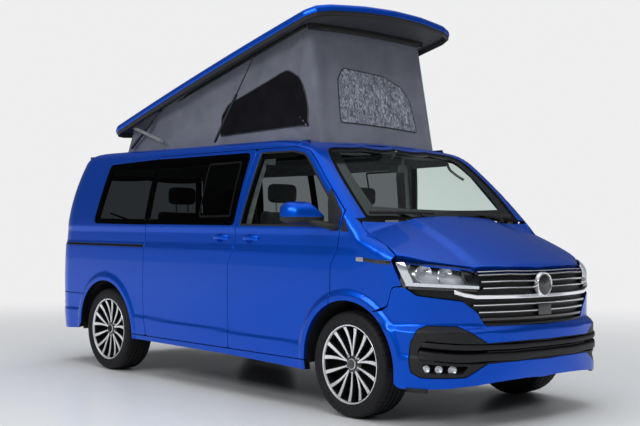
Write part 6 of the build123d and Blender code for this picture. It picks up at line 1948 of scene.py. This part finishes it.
def floor_rails():
    """The floor in three boxes, the side boxes with their jacking points, the rails and the cross members."""
    made = [(box_faces((-0.845, -1.100, 0.440), (0.845, 1.000, 0.478)),),
            (box_faces((-0.465, -2.250, 0.455), (0.465, -1.100, 0.478)),),
            (box_faces((-0.600, 1.000, 0.455), (0.600, 2.270, 0.478)),)]
    for side in (-1, 1):
        low, high = sorted((side * 0.780, side * 0.900))
        made.append((box_faces((low, -1.090, 0.312), (high, 0.985, 0.438)),))
        made.append((sweep(bent([(side * x, y, z) for x, y, z in RAIL_PATH], 30),
                           oblong(0.040, -0.045, 0.045)),))
        for y in (-0.980, 0.880):
            made.append((box_faces((side * 0.840 - 0.030, y - 0.035, 0.286),
                                   (side * 0.840 + 0.030, y + 0.035, 0.316)),))
        for y in (-0.700, -0.200, 0.300, 0.800):
            made.append((sweep([(side * 0.780, y, 0.405), (side * 0.500, y, 0.395)],
                               oblong(0.030, -0.030, 0.040)),))
    return made


shapes_piece("floor_pan.rails", floor_rails(), (UNDERSEAL,), "root", "underbody", "floor_pan", bevel=0.006)
tank = block("fuel_tank", (0.060, -0.780, 0.300), (0.420, 0.300, 0.438), 0.050, (UNDERSEAL,), cuts=10)
finished(tank, "root", "underbody")
shapes_piece("bulkhead", [
    (box_faces((-0.455, -1.336, 0.487), (0.455, -1.326, 0.725)),),
    (box_faces((-0.800, -1.336, 0.725), (0.800, -1.326, 1.140)),),
], (UNDERSEAL,), "root", "underbody", bevel=0.002)
WELL = [(0.0, 0.001), (0.0, 0.250), (0.020, 0.290), (0.090, 0.300), (0.150, 0.285), (0.150, 0.001)]
shapes_piece("spare_wheel_well", [(lathe(WELL, 64, "z"), 0, (0.0, 1.980, 0.300))], (UNDERSEAL,), "root",
             "underbody")


# ---- Camera, light and floor ----
camera = bpy.data.objects.new("camera", bpy.data.cameras.new("camera"))
bpy.context.scene.collection.objects.link(camera)
bpy.context.scene.camera = camera
# The camera as solved from the photograph: its place and angles, then its frame and lens in pixels
EYE = (-5.7216, -6.6206, 1.2367)
YAW, PITCH, ROLL = (math.radians(a) for a in (41.702, 0.815, 0.537))
FRAME_WIDE, FRAME_TALL, FOCAL = 640, 426, 1075.16
CENTRE_X, CENTRE_Y = 317.91, 211.22
SENSOR_MM = 36.0
forward = Vector((math.sin(YAW) * math.cos(PITCH), math.cos(YAW) * math.cos(PITCH), math.sin(PITCH)))
right = Vector((math.cos(YAW), -math.sin(YAW), 0.0))
up = right.cross(forward)
right, up = right * math.cos(ROLL) + up * math.sin(ROLL), up * math.cos(ROLL) - right * math.sin(ROLL)
camera.matrix_world = Matrix((right, up, -forward)).transposed().to_4x4()
camera.location = EYE
camera.data.sensor_width = SENSOR_MM
camera.data.lens = FOCAL / FRAME_WIDE * SENSOR_MM
camera.data.shift_x = (FRAME_WIDE / 2 - CENTRE_X) / FRAME_WIDE
camera.data.shift_y = (CENTRE_Y - FRAME_TALL / 2) / FRAME_WIDE
BACKDROP = (0.86, 0.86, 0.87, 1)


def floor_material():
    """A pale glossy floor that fades into the backdrop with distance."""
    material, tree, shader = nodes_of("floor_pale")
    set_inputs(shader, {"Base Color": (0.62, 0.63, 0.64, 1), "Roughness": 0.22, "Specular IOR Level": 0.45})
    where = tree.nodes.new("ShaderNodeTexCoord")
    away = tree.nodes.new("ShaderNodeVectorMath")
    away.operation = "LENGTH"
    span = tree.nodes.new("ShaderNodeMapRange")
    span.interpolation_type = "SMOOTHSTEP"
    set_inputs(span, {"From Min": 2.2, "From Max": 10.0})
    glow = tree.nodes.new("ShaderNodeEmission")
    set_inputs(glow, {"Color": BACKDROP})
    mix = tree.nodes.new("ShaderNodeMixShader")
    wire(tree, (where.outputs["Object"], away.inputs[0]), (away.outputs["Value"], span.inputs["Value"]),
         (span.outputs["Result"], mix.inputs["Fac"]), (shader.outputs[0], mix.inputs[1]),
         (glow.outputs[0], mix.inputs[2]), (mix.outputs[0], tree.nodes["Material Output"].inputs["Surface"]))
    return material


bpy.ops.mesh.primitive_plane_add(size=120, location=(0, 0, 0))
floor = bpy.context.object
floor.name = "floor"
floor.data.materials.append(floor_material())


def lamp(name, place, target, size, power, glossy=True):
    """A white rectangular light at a place, turned to a target."""
    data = bpy.data.lights.new(name, "AREA")
    data.shape, data.size, data.size_y = "RECTANGLE", *size
    data.energy = power
    made = bpy.data.objects.new(name, data)
    bpy.context.scene.collection.objects.link(made)
    made.location = place
    made.rotation_euler = (Vector(target) - Vector(place)).to_track_quat("-Z", "Y").to_euler()
    made.visible_glossy = glossy


lamp("light_top", (0.0, 0.0, 7.0), (0.0, 0.0, 0.0), (10.0, 10.0), 620, glossy=False)
lamp("light_side", (-9.0, -1.0, 6.0), (0.0, 0.0, 0.8), (9.0, 3.0), 520)
lamp("light_nose", (-1.5, -9.5, 5.5), (0.0, 0.0, 0.8), (8.0, 2.0), 260, glossy=False)
lamp("light_far", (8.0, 3.0, 5.0), (0.0, 0.0, 0.8), (8.0, 4.0), 240, glossy=False)

world = bpy.data.worlds.new("studio")
bpy.context.scene.world = world
world.use_nodes = True
sky = world.node_tree
background = sky.nodes["Background"]
set_inputs(background, {"Strength": 1.0})
way = sky.nodes.new("ShaderNodeTexCoord")
split = sky.nodes.new("ShaderNodeSeparateXYZ")
levels = sky.nodes.new("ShaderNodeValToRGB")
low, high = levels.color_ramp.elements
low.position, low.color = 0.0, (0.34, 0.35, 0.37, 1)
high.position, high.color = 1.0, (0.95, 0.97, 1.00, 1)
for place, shade in ((0.06, 0.20), (0.20, 0.10), (0.62, 0.14), (0.86, 0.85)):
    levels.color_ramp.elements.new(place).color = (shade, shade * 1.03, shade * 1.08, 1)
backdrop = sky.nodes.new("ShaderNodeBackground")
set_inputs(backdrop, {"Color": BACKDROP})
ray_kind = sky.nodes.new("ShaderNodeLightPath")
seen = math_node(sky, "MAXIMUM")
choose = sky.nodes.new("ShaderNodeMixShader")
wire(sky, (way.outputs["Generated"], split.inputs[0]), (split.outputs["Z"], levels.inputs["Fac"]),
     (levels.outputs["Color"], background.inputs["Color"]),
     (ray_kind.outputs["Is Camera Ray"], seen.inputs[0]),
     (ray_kind.outputs["Is Transmission Ray"], seen.inputs[1]), (seen.outputs[0], choose.inputs["Fac"]),
     (background.outputs[0], choose.inputs[1]), (backdrop.outputs[0], choose.inputs[2]),
     (choose.outputs[0], sky.nodes["World Output"].inputs["Surface"]))
bpy.context.scene.view_settings.view_transform = "Standard"
